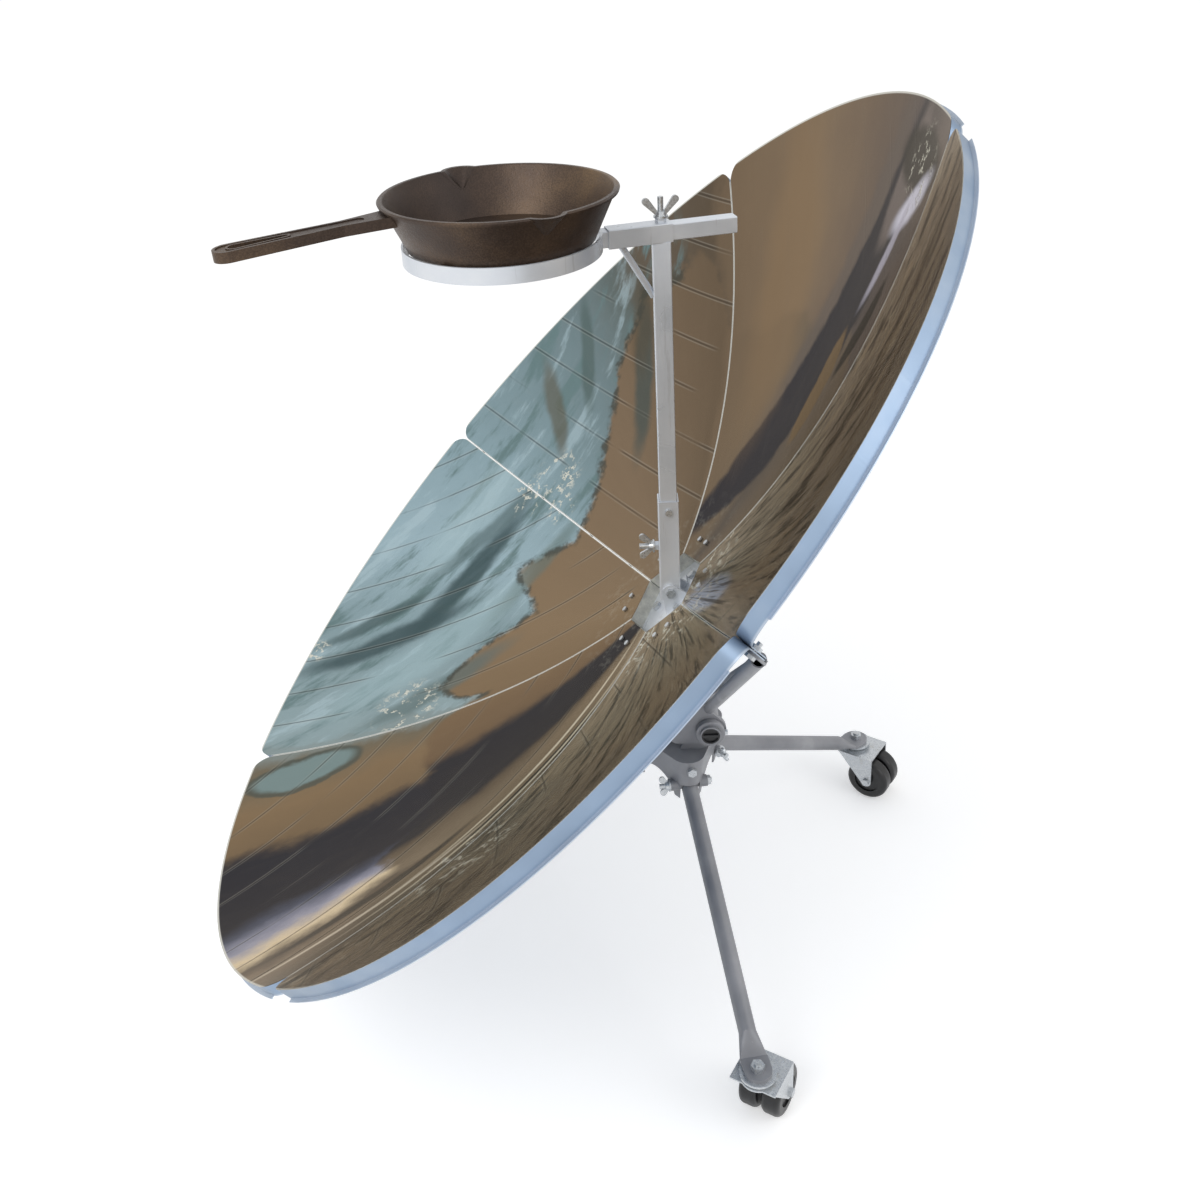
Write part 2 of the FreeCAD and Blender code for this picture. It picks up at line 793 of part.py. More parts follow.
def stand_head():
    """The three-cornered head: a hollow shell with leg bosses and the yoke of the tilt tube."""
    outer = shell_loft(shell_bottom, shell_top, 0.0)
    inner = shell_loft(shell_bottom - 1, shell_top - head_plate, shell_sheet)
    yokes = []
    for side in (-1, 1):
        low = yoke_half - yoke_sheet if side > 0 else -yoke_half
        yokes.append(upright_plate([(yoke_base_low, shell_top - 2, 0),
                                    (yoke_base_high, shell_top - 2, 0),
                                    (tilt_x, tilt_z, yoke_lobe)], low, yoke_sheet))
    body = fused([outer.cut(inner)] + yokes)
    slots = []
    bosses = []
    bores = []
    slope = math.radians(leg_slope)
    inner_wall = shell_corner_place + shell_radius(leg_pivot_z) - shell_sheet - leg_pivot_place
    slot_top = (leg_pivot_z - inner_wall * math.tan(slope) + leg_tube_radius / math.cos(slope)
                + 3.0 * slide_gap)
    for azimuth in leg_azimuths.values():
        slot = box_between(at(30, -boss_inner, shell_bottom - 5), at(100, boss_inner, slot_top))
        arch = Part.makeCylinder(shell_arch_radius, 80, at(20, 0, shell_bottom), X_AXIS)
        slots.append(at_azimuth(slot, azimuth))
        slots.append(at_azimuth(arch, azimuth + 60))
        for side in (-1, 1):
            boss = rod(at(leg_pivot_place, side * boss_inner, leg_pivot_z),
                       at(leg_pivot_place, side * boss_outer, leg_pivot_z), boss_radius)
            bosses.append(at_azimuth(boss, azimuth))
        bore = rod(at(leg_pivot_place, -40, leg_pivot_z), at(leg_pivot_place, 40, leg_pivot_z),
                   pivot_bolt_radius + running_fit)
        bores.append(at_azimuth(bore, azimuth))
        hole = rod(at(60, 0, corner_screw_z), at(90, 0, corner_screw_z), m8[0] + bolt_play)
        bores.append(at_azimuth(hole, azimuth))
    body = fused([body.cut(slots)] + bosses)
    bores.append(along_tilt(-60, 60, tilt_tube_radius + running_fit))
    return body.cut(bores)


def corner_fasteners():
    half = m8[1] / 2.0
    reach = shell_corner_place + shell_radius(corner_screw_z + half) + fixed_fit
    inside = shell_corner_place + shell_radius(corner_screw_z - half) - shell_sheet - 2.0
    bolts = []
    nuts = []
    for azimuth in leg_azimuths.values():
        bolts.append(at_azimuth(bolt(at(reach, 0, corner_screw_z), X_AXIS, m8,
                                     reach - inside + m8[2] + 2.0), azimuth))
        nuts.append(at_azimuth(nut(at(inside, 0, corner_screw_z), X_AXIS * -1, m8), azimuth))
    return {"corner_bolts": group(bolts), "corner_nuts": group(nuts)}


def rounded_section(half_width, half_height, end_radius, spread):
    """A closed section in the YZ plane: two flat or bowed sides and two round ends."""
    angle = math.radians(spread)
    edges = []
    if end_radius < half_width:
        shift = half_width - end_radius
        right = [at(0, shift + end_radius * math.cos(a), end_radius * math.sin(a))
                 for a in (-math.pi / 2, 0, math.pi / 2)]
        left = [at(0, -p.y, -p.z) for p in right]
        edges = [Part.Arc(*right).toShape(), Part.makeLine(right[2], left[0]),
                 Part.Arc(*left).toShape(), Part.makeLine(left[2], right[0])]
    else:
        stops = [-angle, angle, math.pi - angle, math.pi + angle, 2 * math.pi - angle]
        for first, last in zip(stops, stops[1:]):
            points = [at(0, half_width * math.cos(a), half_height * math.sin(a))
                      for a in (first, (first + last) / 2.0, last)]
            edges.append(Part.Arc(*points).toShape())
    return Part.Wire(edges)


def leg():
    """A tube leg with a cross bush at the top and a flattened foot for the caster."""
    slope = math.radians(leg_slope)
    run = at(math.cos(slope), 0, -math.sin(slope))
    pivot = at(leg_pivot_place, 0, leg_pivot_z)
    inner = pivot - run * leg_inner_reach
    outer = pivot + run * leg_tube_reach
    tube = rod(inner, outer, leg_tube_radius)
    foot_middle = leg_foot_z + foot_thickness / 2.0
    ring = rounded_section(leg_tube_radius, leg_tube_radius, leg_tube_radius, 40)
    ring = placed(ring, FreeCAD.Placement(outer, FreeCAD.Rotation(Y_AXIS, leg_slope)))
    flat = rounded_section(foot_width / 2.0, foot_thickness / 2.0, foot_thickness / 2.0, 0)
    flat = moved(flat, at(foot_flat_start, 0, foot_middle))
    squeeze = Part.makeLoft([ring, flat], True, True)
    half = foot_width / 2.0
    pad = hull_plate([(leg_foot_place, 0, half), (foot_flat_start, half, 0),
                      (foot_flat_start, -half, 0)], leg_foot_z, foot_thickness)
    bush = rod(pivot - Y_AXIS * leg_bush_half, pivot + Y_AXIS * leg_bush_half, leg_bush_radius)
    body = fused([tube, squeeze, pad, bush])
    bore = rod(inner - run, outer - run * 5.0, leg_tube_radius - leg_wall)
    body = body.cut(bore)
    bush_wall = bush.common(rod(inner - run, outer, leg_tube_radius - leg_wall + 0.2))
    body = body.fuse(bush_wall)
    holes = [rod(pivot - Y_AXIS * 30, pivot + Y_AXIS * 30, pivot_bolt_radius + running_fit),
             Part.makeCylinder(stem_radius + fixed_fit, 20, at(leg_foot_place, 0, leg_foot_z - 5))]
    return body.cut(holes).removeSplitter()


def leg_pivot_fasteners():
    """The bolt with ears that clamps each leg, and the nut on its far end."""
    parts = {}
    nuts = []
    ear_axis = unit(at(0.35, 0, -1))
    left = at(leg_pivot_place, -boss_outer - side_gap, leg_pivot_z)
    right = at(leg_pivot_place, boss_outer, leg_pivot_z)
    reach = 2 * boss_outer + side_gap + m8[2] + 2.0
    for name, azimuth in leg_azimuths.items():
        screw = wing_screw(left, at(y=-1), ear_axis, m8, reach, leg_wing_span)
        parts["leg_wing_screw_" + name] = at_azimuth(screw, azimuth)
        nuts.append(at_azimuth(nut(right, Y_AXIS, m8), azimuth))
    parts["leg_pivot_nuts"] = group(nuts)
    return parts


# Casters


def caster_place(name):
    angle = math.radians(leg_azimuths[name])
    return at(stand_x + leg_foot_place * math.cos(angle), leg_foot_place * math.sin(angle))


def at_caster(shape, name):
    return moved(turned(shape, ORIGIN, Z_AXIS, caster_headings[name]), caster_place(name))


def axle_reach():
    return wheel_width + wheel_gap / 2.0 + side_gap + fork_sheet


def caster_stem():
    """The fixed stud of a caster, with its head under the fork crown."""
    crown_low = fork_crown_top - fork_sheet
    shank = Part.makeCylinder(stem_radius, leg_foot_z + foot_thickness + 11.0 - crown_low + 5,
                              at(z=crown_low - 5))
    head = Part.makeCylinder(9.0, 4.0, at(z=crown_low - side_gap - 4.0))
    return fused([shank, head])


def caster_race():
    """The fixed upper bearing cup between the leg foot and the fork crown."""
    low = fork_crown_top + side_gap
    height = leg_foot_z - low
    cup = Part.makeCone(race_radius - 4.0, race_radius, height * 0.6, at(z=low))
    rim = Part.makeCylinder(race_radius, height * 0.4, at(z=low + height * 0.6))
    bore = Part.makeCylinder(stem_radius + fixed_fit, height + 2, at(z=low - 1))
    return fused([cup, rim]).cut(bore)


def caster_fork():
    """A pressed fork: a round crown that widens to two tapered cheeks."""
    low = fork_crown_top - fork_sheet
    outside = axle_reach()
    crown = Part.makeCylinder(fork_crown_radius, fork_sheet, at(z=low))
    bridge = box_between(at(fork_back, -outside, low), at(fork_front, outside, fork_crown_top))
    cheeks = []
    for side in (-1, 1):
        y = outside - fork_sheet if side > 0 else -outside
        cheeks.append(upright_plate([(fork_back, fork_crown_top, 0),
                                     (caster_trail, wheel_radius, fork_boss_radius),
                                     (fork_front, fork_crown_top, 0)], y, fork_sheet))
    body = fused([crown, bridge] + cheeks)
    holes = [Part.makeCylinder(stem_radius + running_fit, 20, at(z=low - 5)),
             rod(at(caster_trail, -60, wheel_radius), at(caster_trail, 60, wheel_radius),
                 axle_radius + fixed_fit)]
    return body.cut(holes)


def caster_axle():
    reach = axle_reach()
    size = (axle_radius, 12.0, 4.5)
    return bolt(at(caster_trail, -reach, wheel_radius), at(y=-1), size, 2 * reach + size[2] + 2)


def caster_axle_nut():
    size = (axle_radius, 12.0, 4.5)
    return nut(at(caster_trail, axle_reach(), wheel_radius), Y_AXIS, size)


def caster_wheels():
    """Two rounded wheels on one hub, turned as a single piece."""
    inner = wheel_gap / 2.0
    outer = inner + wheel_width
    bore = axle_radius + running_fit
    rounding = tread_rounding
    wheel = Part.makeCylinder(wheel_radius, wheel_width, at(z=inner))
    rims = [edge for edge in wheel.Edges
            if abs(edge.Length - 2 * math.pi * wheel_radius) < 0.1]
    wheel = wheel.makeFillet(rounding, rims)
    recess = Part.makeCylinder(22.0, 3.0, at(z=outer - 3.0))
    boss = Part.makeCylinder(9.0, 3.0, at(z=outer - 3.0))
    wheel = fused([wheel.cut(recess), boss])
    other = turned(wheel, ORIGIN, X_AXIS, 180)
    core = Part.makeCylinder(13.0, wheel_gap, at(z=-inner))
    pair = fused([wheel, other, core])
    pair = pair.cut(Part.makeCylinder(bore, 4 * outer, at(z=-2 * outer)))
    pair = turned(pair, ORIGIN, X_AXIS, 90)
    return moved(pair, at(caster_trail, 0, wheel_radius))


def caster_parts():
    parts = {}
    stems = []
    nuts = []
    top = leg_foot_z + foot_thickness
    for name in leg_azimuths:
        parts["caster_fork_" + name] = at_caster(caster_fork(), name)
        parts["caster_wheels_" + name] = at_caster(caster_wheels(), name)
        parts["caster_axle_" + name] = group([at_caster(caster_axle(), name),
                                              at_caster(caster_axle_nut(), name)])
        stem = group([at_caster(caster_stem(), name), at_caster(caster_race(), name),
                      at_caster(nut(at(z=top), Z_AXIS, m10), name)])
        parts["caster_stem_" + name] = stem
    return parts


# Post


def post_lugs():
    """Two angle lugs on the hub plate that hold the pivot of the post."""
    pivot = dish_local(post_x, 0, post_pivot_z)
    inner = sleeve_width / 2.0 + side_gap
    floor = -skirt_depth
    lugs = []
    for side in (-1, 1):
        low = inner if side > 0 else -inner - lug_sheet
        blade = upright_plate([(lug_flange_low, floor, 0), (lug_flange_high, floor, 0),
                               (pivot.x, pivot.z, lug_radius)], low, lug_sheet)
        ends = sorted((side * inner, side * lug_flange_out))
        flange = box_between(at(lug_flange_low, ends[0], floor),
                             at(lug_flange_high, ends[1], floor + lug_sheet))
        lug = fused([blade, flange])
        bore = rod(at(pivot.x, -40, pivot.z), at(pivot.x, 40, pivot.z), m8[0] + fixed_fit)
        spot = [p for p in lug_screw_spots() if p.y * side > 0][0]
        hole = Part.makeCylinder(m6[0] + bolt_play, 20, spot + at(z=floor - 5))
        lugs.append(lug.cut([bore, hole]))
    return on_dish(group(lugs))


def lug_fasteners():
    front = -skirt_depth + lug_sheet
    back = -skirt_depth - hub_thickness - bracket_sheet
    screws = []
    for spot in lug_screw_spots():
        screws.append(bolt(spot + at(z=front), Z_AXIS, m6, front - back - bracket_sheet, "round"))
    return on_dish(group(screws))


def post_pivot():
    """The bolt that the post leans on, with its nut."""
    outside = sleeve_width / 2.0 + side_gap + lug_sheet
    head = bolt(at(post_x, -outside, post_pivot_z), at(y=-1), m8, 2 * outside + m8[2] + 2)
    lock = nut(at(post_x, outside, post_pivot_z), Y_AXIS, m8)
    return group([head, lock])


def upright_post():
    return axes_at(at(post_x), Z_AXIS, X_AXIS)


def post_sleeve():
    """The outer tube of the post with a welded nut for the wing screw."""
    bottom = post_pivot_z - sleeve_below_pivot
    tube = square_tube(sleeve_width, sleeve_wall, bottom, sleeve_top, upright_post())
    half = sleeve_width / 2.0
    weld_nut = hexagon(13.0, 6.0, at(post_x - half, 0, post_wing_z), at(x=-1))
    body = fused([tube, weld_nut])
    holes = [rod(at(post_x, -30, post_pivot_z), at(post_x, 30, post_pivot_z),
                 m8[0] + running_fit),
             rod(at(post_x - 5, 0, post_wing_z), at(post_x - 40, 0, post_wing_z),
                 m8[0] + running_fit),
             rod(at(post_x, -8, guide_screw_z), at(post_x, -30, guide_screw_z),
                 m6[0] + fixed_fit),
             rod(at(post_x, 8, guide_screw_z), at(post_x, 30, guide_screw_z),
                 m6[0] + fixed_fit)]
    return body.cut(holes)


def guide_screws():
    half = sleeve_width / 2.0
    screws = [bolt(at(post_x, side * half, guide_screw_z), at(y=side), m6, sleeve_wall, "round")
              for side in (-1, 1)]
    return group(screws)


def post_wing():
    seat = post_x - sleeve_width / 2.0 - 6.0 - side_gap
    length = seat * -1.0 + post_x - post_width / 2.0 - side_gap
    return wing_screw(at(seat, 0, post_wing_z), at(x=-1), Z_AXIS, m8, length, post_wing_span)


def arm_run():
    angle = math.radians(arm_azimuth)
    return at(math.cos(angle), math.sin(angle))


def arm_base():
    return at(post_x, 0, arm_z)


def along_arm():
    """The arm's own axes: Z runs out to the ring and X points up."""
    return axes_at(arm_base(), arm_run(), Z_AXIS)


def post_tube():
    """The sliding inner post with the sleeve for the arm and its brace welded on top."""
    run = arm_run()
    under = arm_z - arm_sleeve_width / 2.0
    tube = square_tube(post_width, post_wall, post_bottom, under + 1.0, upright_post())
    sleeve = square_tube(arm_sleeve_width, arm_sleeve_wall, -arm_sleeve_back, arm_sleeve_front,
                         along_arm())
    inside = arm_sleeve_width / 2.0 - arm_sleeve_wall
    room = box_between(at(-inside, -inside, -200), at(inside, inside, 200))
    room = placed(room, along_arm())
    half = post_width / 2.0
    low = at(post_x, 0, arm_z - brace_drop) + run * half
    high = at(post_x, 0, under) + run * brace_reach
    brace = rod(low, high + (high - low) * 0.04, brace_radius)
    core = box_between(at(post_x - half + post_wall, -half + post_wall, post_bottom),
                       at(post_x + half - post_wall, half - post_wall, under))
    top_nut = hexagon(13.0, 6.0, arm_base() + at(z=arm_sleeve_width / 2.0), Z_AXIS)
    body = fused([tube, sleeve, brace.cut(core), top_nut]).cut(room)
    hole = Part.makeCylinder(m8[0] + running_fit, 40, arm_base())
    return body.cut(hole)


def arm_wing():
    seat = arm_z + arm_sleeve_width / 2.0 + 6.0 + side_gap
    length = seat - (arm_z + arm_width / 2.0 + side_gap)
    return wing_screw(at(post_x, 0, seat), Z_AXIS, arm_run(), m8, length, arm_wing_span)


def ring_centre():
    return at(post_x, 0, 0) + arm_run() * ring_centre_place


def pot_arm():
    """The arm tube and the ring that the pan stands in, welded together."""
    front = ring_centre_place - ring_radius + ring_bar / 2.0
    tube = square_tube(arm_width, arm_wall, -arm_back, front, along_arm())
    bottom = ring_top - ring_height
    centre = ring_centre()
    band = Part.makeCylinder(ring_radius, ring_height, centre + at(z=bottom))
    room = Part.makeCylinder(ring_radius - ring_bar, ring_height + 2, centre + at(z=bottom - 1))
    tabs = []
    for i in range(ring_tab_count):
        tab = box_between(at(ring_radius - ring_tab_length, -ring_tab_width / 2.0,
                             pan_seat - ring_tab_thickness),
                          at(ring_radius - ring_bar / 2.0, ring_tab_width / 2.0, pan_seat))
        azimuth = arm_azimuth + 45.0 + i * 360.0 / ring_tab_count
        tabs.append(moved(turned(tab, ORIGIN, Z_AXIS, azimuth), centre))
    return fused([tube.cut(room), band.cut(room)] + tabs)


# Skillet


def pan_bowl():
    """The turned body of the pan: floor, sloping wall and a thick rim."""
    slope = (pan_rim_radius - pan_bead - pan_base_radius) / pan_height
    under_bead = pan_base_radius + slope * (pan_height - pan_bead_height)
    inner_floor = pan_base_radius + slope * pan_floor - pan_wall - 3.0
    inner_side = pan_base_radius + slope * (pan_floor + 6.0) - pan_wall
    inner_top = pan_rim_radius - pan_bead - pan_wall
    points = [at(0, 0, 0), at(pan_base_radius - 2.0, 0, 0),
              at(pan_base_radius + slope * 2.0, 0, 2.0),
              at(under_bead, 0, pan_height - pan_bead_height),
              at(pan_rim_radius - 1.0, 0, pan_height - pan_bead_height + 1.0),
              at(pan_rim_radius, 0, pan_height - 2.0), at(pan_rim_radius - 2.0, 0, pan_height),
              at(inner_top + 1.0, 0, pan_height), at(inner_top, 0, pan_height - 1.0),
              at(inner_side, 0, pan_floor + 6.0), at(inner_floor, 0, pan_floor),
              at(0, 0, pan_floor), at(0, 0, 0)]
    return Part.Face(Part.makePolygon(points)).revolve(ORIGIN, Z_AXIS, 360)


def pan_inside():
    slope = (pan_rim_radius - pan_bead - pan_base_radius) / pan_height
    low = pan_base_radius + slope * pan_floor - pan_wall
    high = pan_rim_radius - pan_bead - pan_wall
    return Part.makeCone(low, high, pan_height - pan_floor, at(z=pan_floor))


def pan_spout(azimuth, shrink):
    """A pouring lip: a steep cone let into the rim."""
    cone = Part.makeCone(4.0 - shrink, spout_radius - shrink, spout_depth + shrink,
                         at(spout_place, 0, pan_height - spout_depth - shrink * 0.3))
    return turned(cone, ORIGIN, Z_AXIS, azimuth)


def pan_handle():
    """The cast handle with a raised edge and a long hanging hole."""
    root = (pan_base_radius + 12.0, 0, handle_root_radius)
    neck = (handle_neck_place, 0, handle_neck_radius)
    tip_place = handle_reach - handle_tip_radius
    tip = (tip_place, 0, handle_tip_radius)
    low = -handle_thickness
    body = fused([hull_plate([root, neck], low, handle_thickness),
                  hull_plate([neck, tip], low, handle_thickness)])
    inset = handle_rim
    tray = fused([hull_plate([(neck[0] - 20.0, 0, neck[2] - inset),
                              (neck[0], 0, neck[2] - inset)], -handle_dish, 10),
                  hull_plate([(neck[0], 0, neck[2] - inset),
                              (tip_place, 0, tip[2] - inset)], -handle_dish, 10)])
    hole = hull_plate([(hole_root_place, 0, hole_root_radius),
                       (hole_tip_place, 0, hole_tip_radius)], low - 5, handle_thickness + 10)
    lip = hull_plate([(hole_root_place, 0, hole_root_radius + 3.0),
                      (hole_tip_place, 0, hole_tip_radius + 3.0)], -handle_dish - 1,
                     handle_dish + 1)
    handle = body.cut(tray).fuse(lip).cut(hole)
    run = handle_reach - pan_rim_radius
    lean = math.degrees(math.atan2(handle_tip_drop, run))
    handle = turned(handle, at(pan_rim_radius), Y_AXIS, lean)
    return moved(handle, at(z=pan_height - handle_top_drop))


def skillet():
    handle = turned(pan_handle(), ORIGIN, Z_AXIS, handle_azimuth)
    spouts = [pan_spout(azimuth, 0.0) for azimuth in spout_azimuths]
    body = fused([pan_bowl()] + spouts + [handle])
    grooves = [pan_spout(azimuth, 3.5) for azimuth in spout_azimuths]
    bite = box_between(at(-400, -400, pan_height), at(400, 400, pan_height + 60))
    body = body.cut([pan_inside(), bite] + grooves)
    return moved(body, ring_centre() + at(z=pan_seat))


def save(name, shape):
    shape.exportStep("parts/%s.step" % name)


def main():
    os.makedirs("parts", exist_ok=True)
    parts = {}
    parts.update(petal_parts())
    parts.update(seam_fasteners())
    parts["hub_plate"] = hub_plate()
    parts.update(hub_fasteners())
    parts["dish_bracket"] = dish_bracket()
    parts.update(bracket_fasteners())
    parts["stay_near"] = cheek_stay(stay_tongues[0], -1, side_foot, side_start)
    parts["stay_middle"] = cheek_stay(stay_tongues[1], -1, middle_foot, middle_start)
    parts["stay_far"] = cheek_stay(stay_tongues[2], 1, side_foot, side_start)
    parts["rim_stay_near"] = rim_stay(stay_tongues[3], -1)
    parts["rim_stay_far"] = rim_stay(stay_tongues[4], 1)
    parts.update(stay_fasteners())
    parts["tilt_tube"] = tilt_tube()
    parts["tube_end_plugs"] = group([tube_end_plug(side) for side in (-1, 1)])
    parts["tilt_collars"] = group([tilt_collar(side) for side in (-1, 1)])
    parts["collar_screws"] = group([collar_screw(side) for side in (-1, 1)])
    parts["stand_head"] = stand_head()
    parts.update(corner_fasteners())
    shape = leg()
    for name, azimuth in leg_azimuths.items():
        parts["leg_" + name] = at_azimuth(shape, azimuth)
    parts.update(leg_pivot_fasteners())
    parts.update(caster_parts())
    parts["post_lugs"] = post_lugs()
    parts["lug_screws"] = lug_fasteners()
    parts["post_pivot_bolt"] = post_pivot()
    parts["post_sleeve"] = post_sleeve()
    parts["guide_screws"] = guide_screws()
    parts["post_wing_screw"] = post_wing()
    parts["post_tube"] = post_tube()
    parts["arm_wing_screw"] = arm_wing()
    parts["pot_arm"] = pot_arm()
    parts["skillet"] = skillet()
    for name, shape in parts.items():
        save(name, shape)


main()
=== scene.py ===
import json
import math

import bpy
from mathutils import Matrix, Vector

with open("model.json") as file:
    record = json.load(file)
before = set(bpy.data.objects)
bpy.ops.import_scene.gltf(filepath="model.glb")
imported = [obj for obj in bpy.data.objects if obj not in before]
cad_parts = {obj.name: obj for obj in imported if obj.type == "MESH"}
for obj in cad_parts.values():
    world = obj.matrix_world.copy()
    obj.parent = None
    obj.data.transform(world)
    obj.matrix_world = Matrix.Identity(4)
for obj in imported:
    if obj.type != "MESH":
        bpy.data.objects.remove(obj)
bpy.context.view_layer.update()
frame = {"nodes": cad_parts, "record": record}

# Metres, +Z up, the same frame as the model. The dish faces -X and up.

nodes = frame["nodes"]

# Dish
rim_radius = 0.750
dish_depth = 0.242
apex = Vector((0.140, 0.0, 0.594))
seam_turn = -7.4
petal_count = 6
sheet = 0.0012
skirt_depth = 0.021
strip_width = 0.075
strip_line = 0.0011
hub_reach = 0.13
patch_sway = 0.060
focal = rim_radius ** 2 / (4.0 * dish_depth)
slope_up = Vector((math.sqrt(0.5), 0.0, math.sqrt(0.5)))
facing = Vector((-math.sqrt(0.5), 0.0, math.sqrt(0.5)))

# Camera, for a square picture 1200 pixels wide
picture = 1200.0
camera_place = Vector((0.0755, -1.7132, 1.6304))
camera_yaw = 3.2
camera_pitch = 24.8
camera_roll = 3.8
camera_focal = 1326.2
camera_centre_x = 549.5
camera_centre_y = 449.7

# Light
world_light = 0.75
key_power = 42.0
fill_power = 16.0
floor_size = 40.0
floor_glow = 0.42


def paint(red, green, blue):
    """A colour written as a screen shows it, 0 to 255, as the renderer wants it."""
    def linear(value):
        value /= 255.0
        return value / 12.92 if value <= 0.04045 else ((value + 0.055) / 1.055) ** 2.4
    return (linear(red), linear(green), linear(blue), 1.0)


class Shader:
    """One procedural material and the steps to build it."""

    def __init__(self, name):
        self.material = bpy.data.materials.new(name)
        self.material.use_nodes = True
        self.tree = self.material.node_tree
        self.tree.nodes.clear()
        self.output = self.tree.nodes.new("ShaderNodeOutputMaterial")

    def put(self, value, socket):
        if isinstance(value, bpy.types.NodeSocket):
            self.tree.links.new(value, socket)
        else:
            socket.default_value = value

    def maths(self, operation, first, second=0.0, third=0.0, clamp=False):
        node = self.tree.nodes.new("ShaderNodeMath")
        node.operation = operation
        node.use_clamp = clamp
        for value, socket in zip((first, second, third), node.inputs):
            self.put(value, socket)
        return node.outputs[0]

    def vector(self, operation, first, second=(0.0, 0.0, 0.0)):
        node = self.tree.nodes.new("ShaderNodeVectorMath")
        node.operation = operation
        self.put(first, node.inputs[0])
        self.put(second, node.inputs[1])
        single = operation in ("DOT_PRODUCT", "LENGTH")
        return node.outputs["Value"] if single else node.outputs[0]

    def join(self, x, y, z):
        node = self.tree.nodes.new("ShaderNodeCombineXYZ")
        for value, socket in zip((x, y, z), node.inputs):
            self.put(value, socket)
        return node.outputs[0]

    def place(self):
        return self.tree.nodes.new("ShaderNodeTexCoord").outputs["Object"]

    def noise(self, where, scale, detail=3.0, roughness=0.5):
        node = self.tree.nodes.new("ShaderNodeTexNoise")
        self.put(where, node.inputs["Vector"])
        node.inputs["Scale"].default_value = scale
        node.inputs["Detail"].default_value = detail
        node.inputs["Roughness"].default_value = roughness
        return node.outputs["Fac"]

    def cells(self, where, scale, feature="F1"):
        node = self.tree.nodes.new("ShaderNodeTexVoronoi")
        node.feature = feature
        self.put(where, node.inputs["Vector"])
        node.inputs["Scale"].default_value = scale
        return node.outputs["Distance"]

    def step(self, value, low, high, start=0.0, end=1.0):
        """Rises smoothly from start to end as value goes from low to high."""
        node = self.tree.nodes.new("ShaderNodeMapRange")
        node.interpolation_type = "SMOOTHSTEP"
        self.put(value, node.inputs["Value"])
        self.put(low, node.inputs["From Min"])
        self.put(high, node.inputs["From Max"])
        self.put(start, node.inputs["To Min"])
        self.put(end, node.inputs["To Max"])
        return node.outputs["Result"]

    def ramp(self, value, stops):
        node = self.tree.nodes.new("ShaderNodeValToRGB")
        self.put(value, node.inputs[0])
        elements = node.color_ramp.elements
        elements[0].position = stops[0][0]
        elements[0].color = stops[0][1]
        elements[1].position = stops[-1][0]
        elements[1].color = stops[-1][1]
        for position, colour in stops[1:-1]:
            elements.new(position).color = colour
        return node.outputs["Color"]

    def mix(self, amount, first, second, blend="MIX"):
        node = self.tree.nodes.new("ShaderNodeMix")
        node.data_type = "RGBA"
        node.blend_type = blend
        self.put(amount, node.inputs["Factor"])
        self.put(first, node.inputs[6])
        self.put(second, node.inputs[7])
        return node.outputs[2]

    def bump(self, height, strength, distance, normal=None):
        node = self.tree.nodes.new("ShaderNodeBump")
        self.put(height, node.inputs["Height"])
        node.inputs["Strength"].default_value = strength
        node.inputs["Distance"].default_value = distance
        if normal is not None:
            self.put(normal, node.inputs["Normal"])
        return node.outputs["Normal"]

    def surface(self, colour, metallic, roughness, normal=None, edge=(1.0, 1.0, 1.0, 1.0)):
        node = self.tree.nodes.new("ShaderNodeBsdfPrincipled")
        self.put(colour, node.inputs["Base Color"])
        self.put(metallic, node.inputs["Metallic"])
        self.put(roughness, node.inputs["Roughness"])
        node.inputs["Specular Tint"].default_value = edge
        if normal is not None:
            self.put(normal, node.inputs["Normal"])
        self.tree.links.new(node.outputs["BSDF"], self.output.inputs["Surface"])
        return self.material


def turn_part(angle):
    """How far round the dish an angle is, from 0 to 1, counted from the middle seam."""
    return ((angle - seam_turn) % 360.0) / 360.0


def angle_stops(colours):
    return [(turn_part(angle), paint(*colour)) for angle, colour in colours]


# Painted reflections that the mirror film shows round the dish, by angle in degrees: near the hub
# and further out
inner_tones = (
    (-7.3, (120, 104, 88)), (10, (88, 80, 74)), (24, (112, 98, 82)), (52, (116, 98, 78)),
    (56, (104, 88, 70)), (90, (126, 107, 86)), (150, (136, 115, 90)), (172, (128, 107, 82)),
    (176, (122, 100, 76)), (186, (114, 93, 71)), (190, (34, 36, 46)), (211, (22, 25, 38)),
    (214, (96, 82, 66)), (231, (160, 142, 118)), (250, (160, 143, 121)), (292, (164, 148, 126)),
    (330, (162, 148, 130)), (351, (150, 136, 118)))
outer_tones = (
    (-7.3, (116, 104, 98)), (0, (88, 80, 80)), (6, (80, 74, 78)), (14, (108, 94, 84)),
    (30, (130, 111, 90)), (52, (116, 98, 78)), (56, (90, 78, 64)), (71, (98, 88, 76)),
    (78, (96, 106, 104)), (88, (112, 130, 134)), (100, (124, 146, 152)),
    (112, (138, 162, 170)), (130, (154, 178, 187)), (150, (134, 156, 162)),
    (171, (144, 164, 168)), (175, (112, 104, 88)), (182, (132, 110, 83)),
    (191, (120, 100, 76)), (194, (34, 37, 48)), (208, (18, 23, 40)), (212, (66, 74, 96)),
    (216, (150, 152, 172)), (219, (226, 206, 172)), (222, (70, 58, 50)), (225, (130, 112, 92)),
    (231, (104, 92, 78)), (240, (140, 126, 108)), (256, (162, 147, 127)),
    (292, (150, 136, 118)), (310, (164, 150, 133)), (335, (154, 140, 124)),
    (351, (152, 138, 122)))
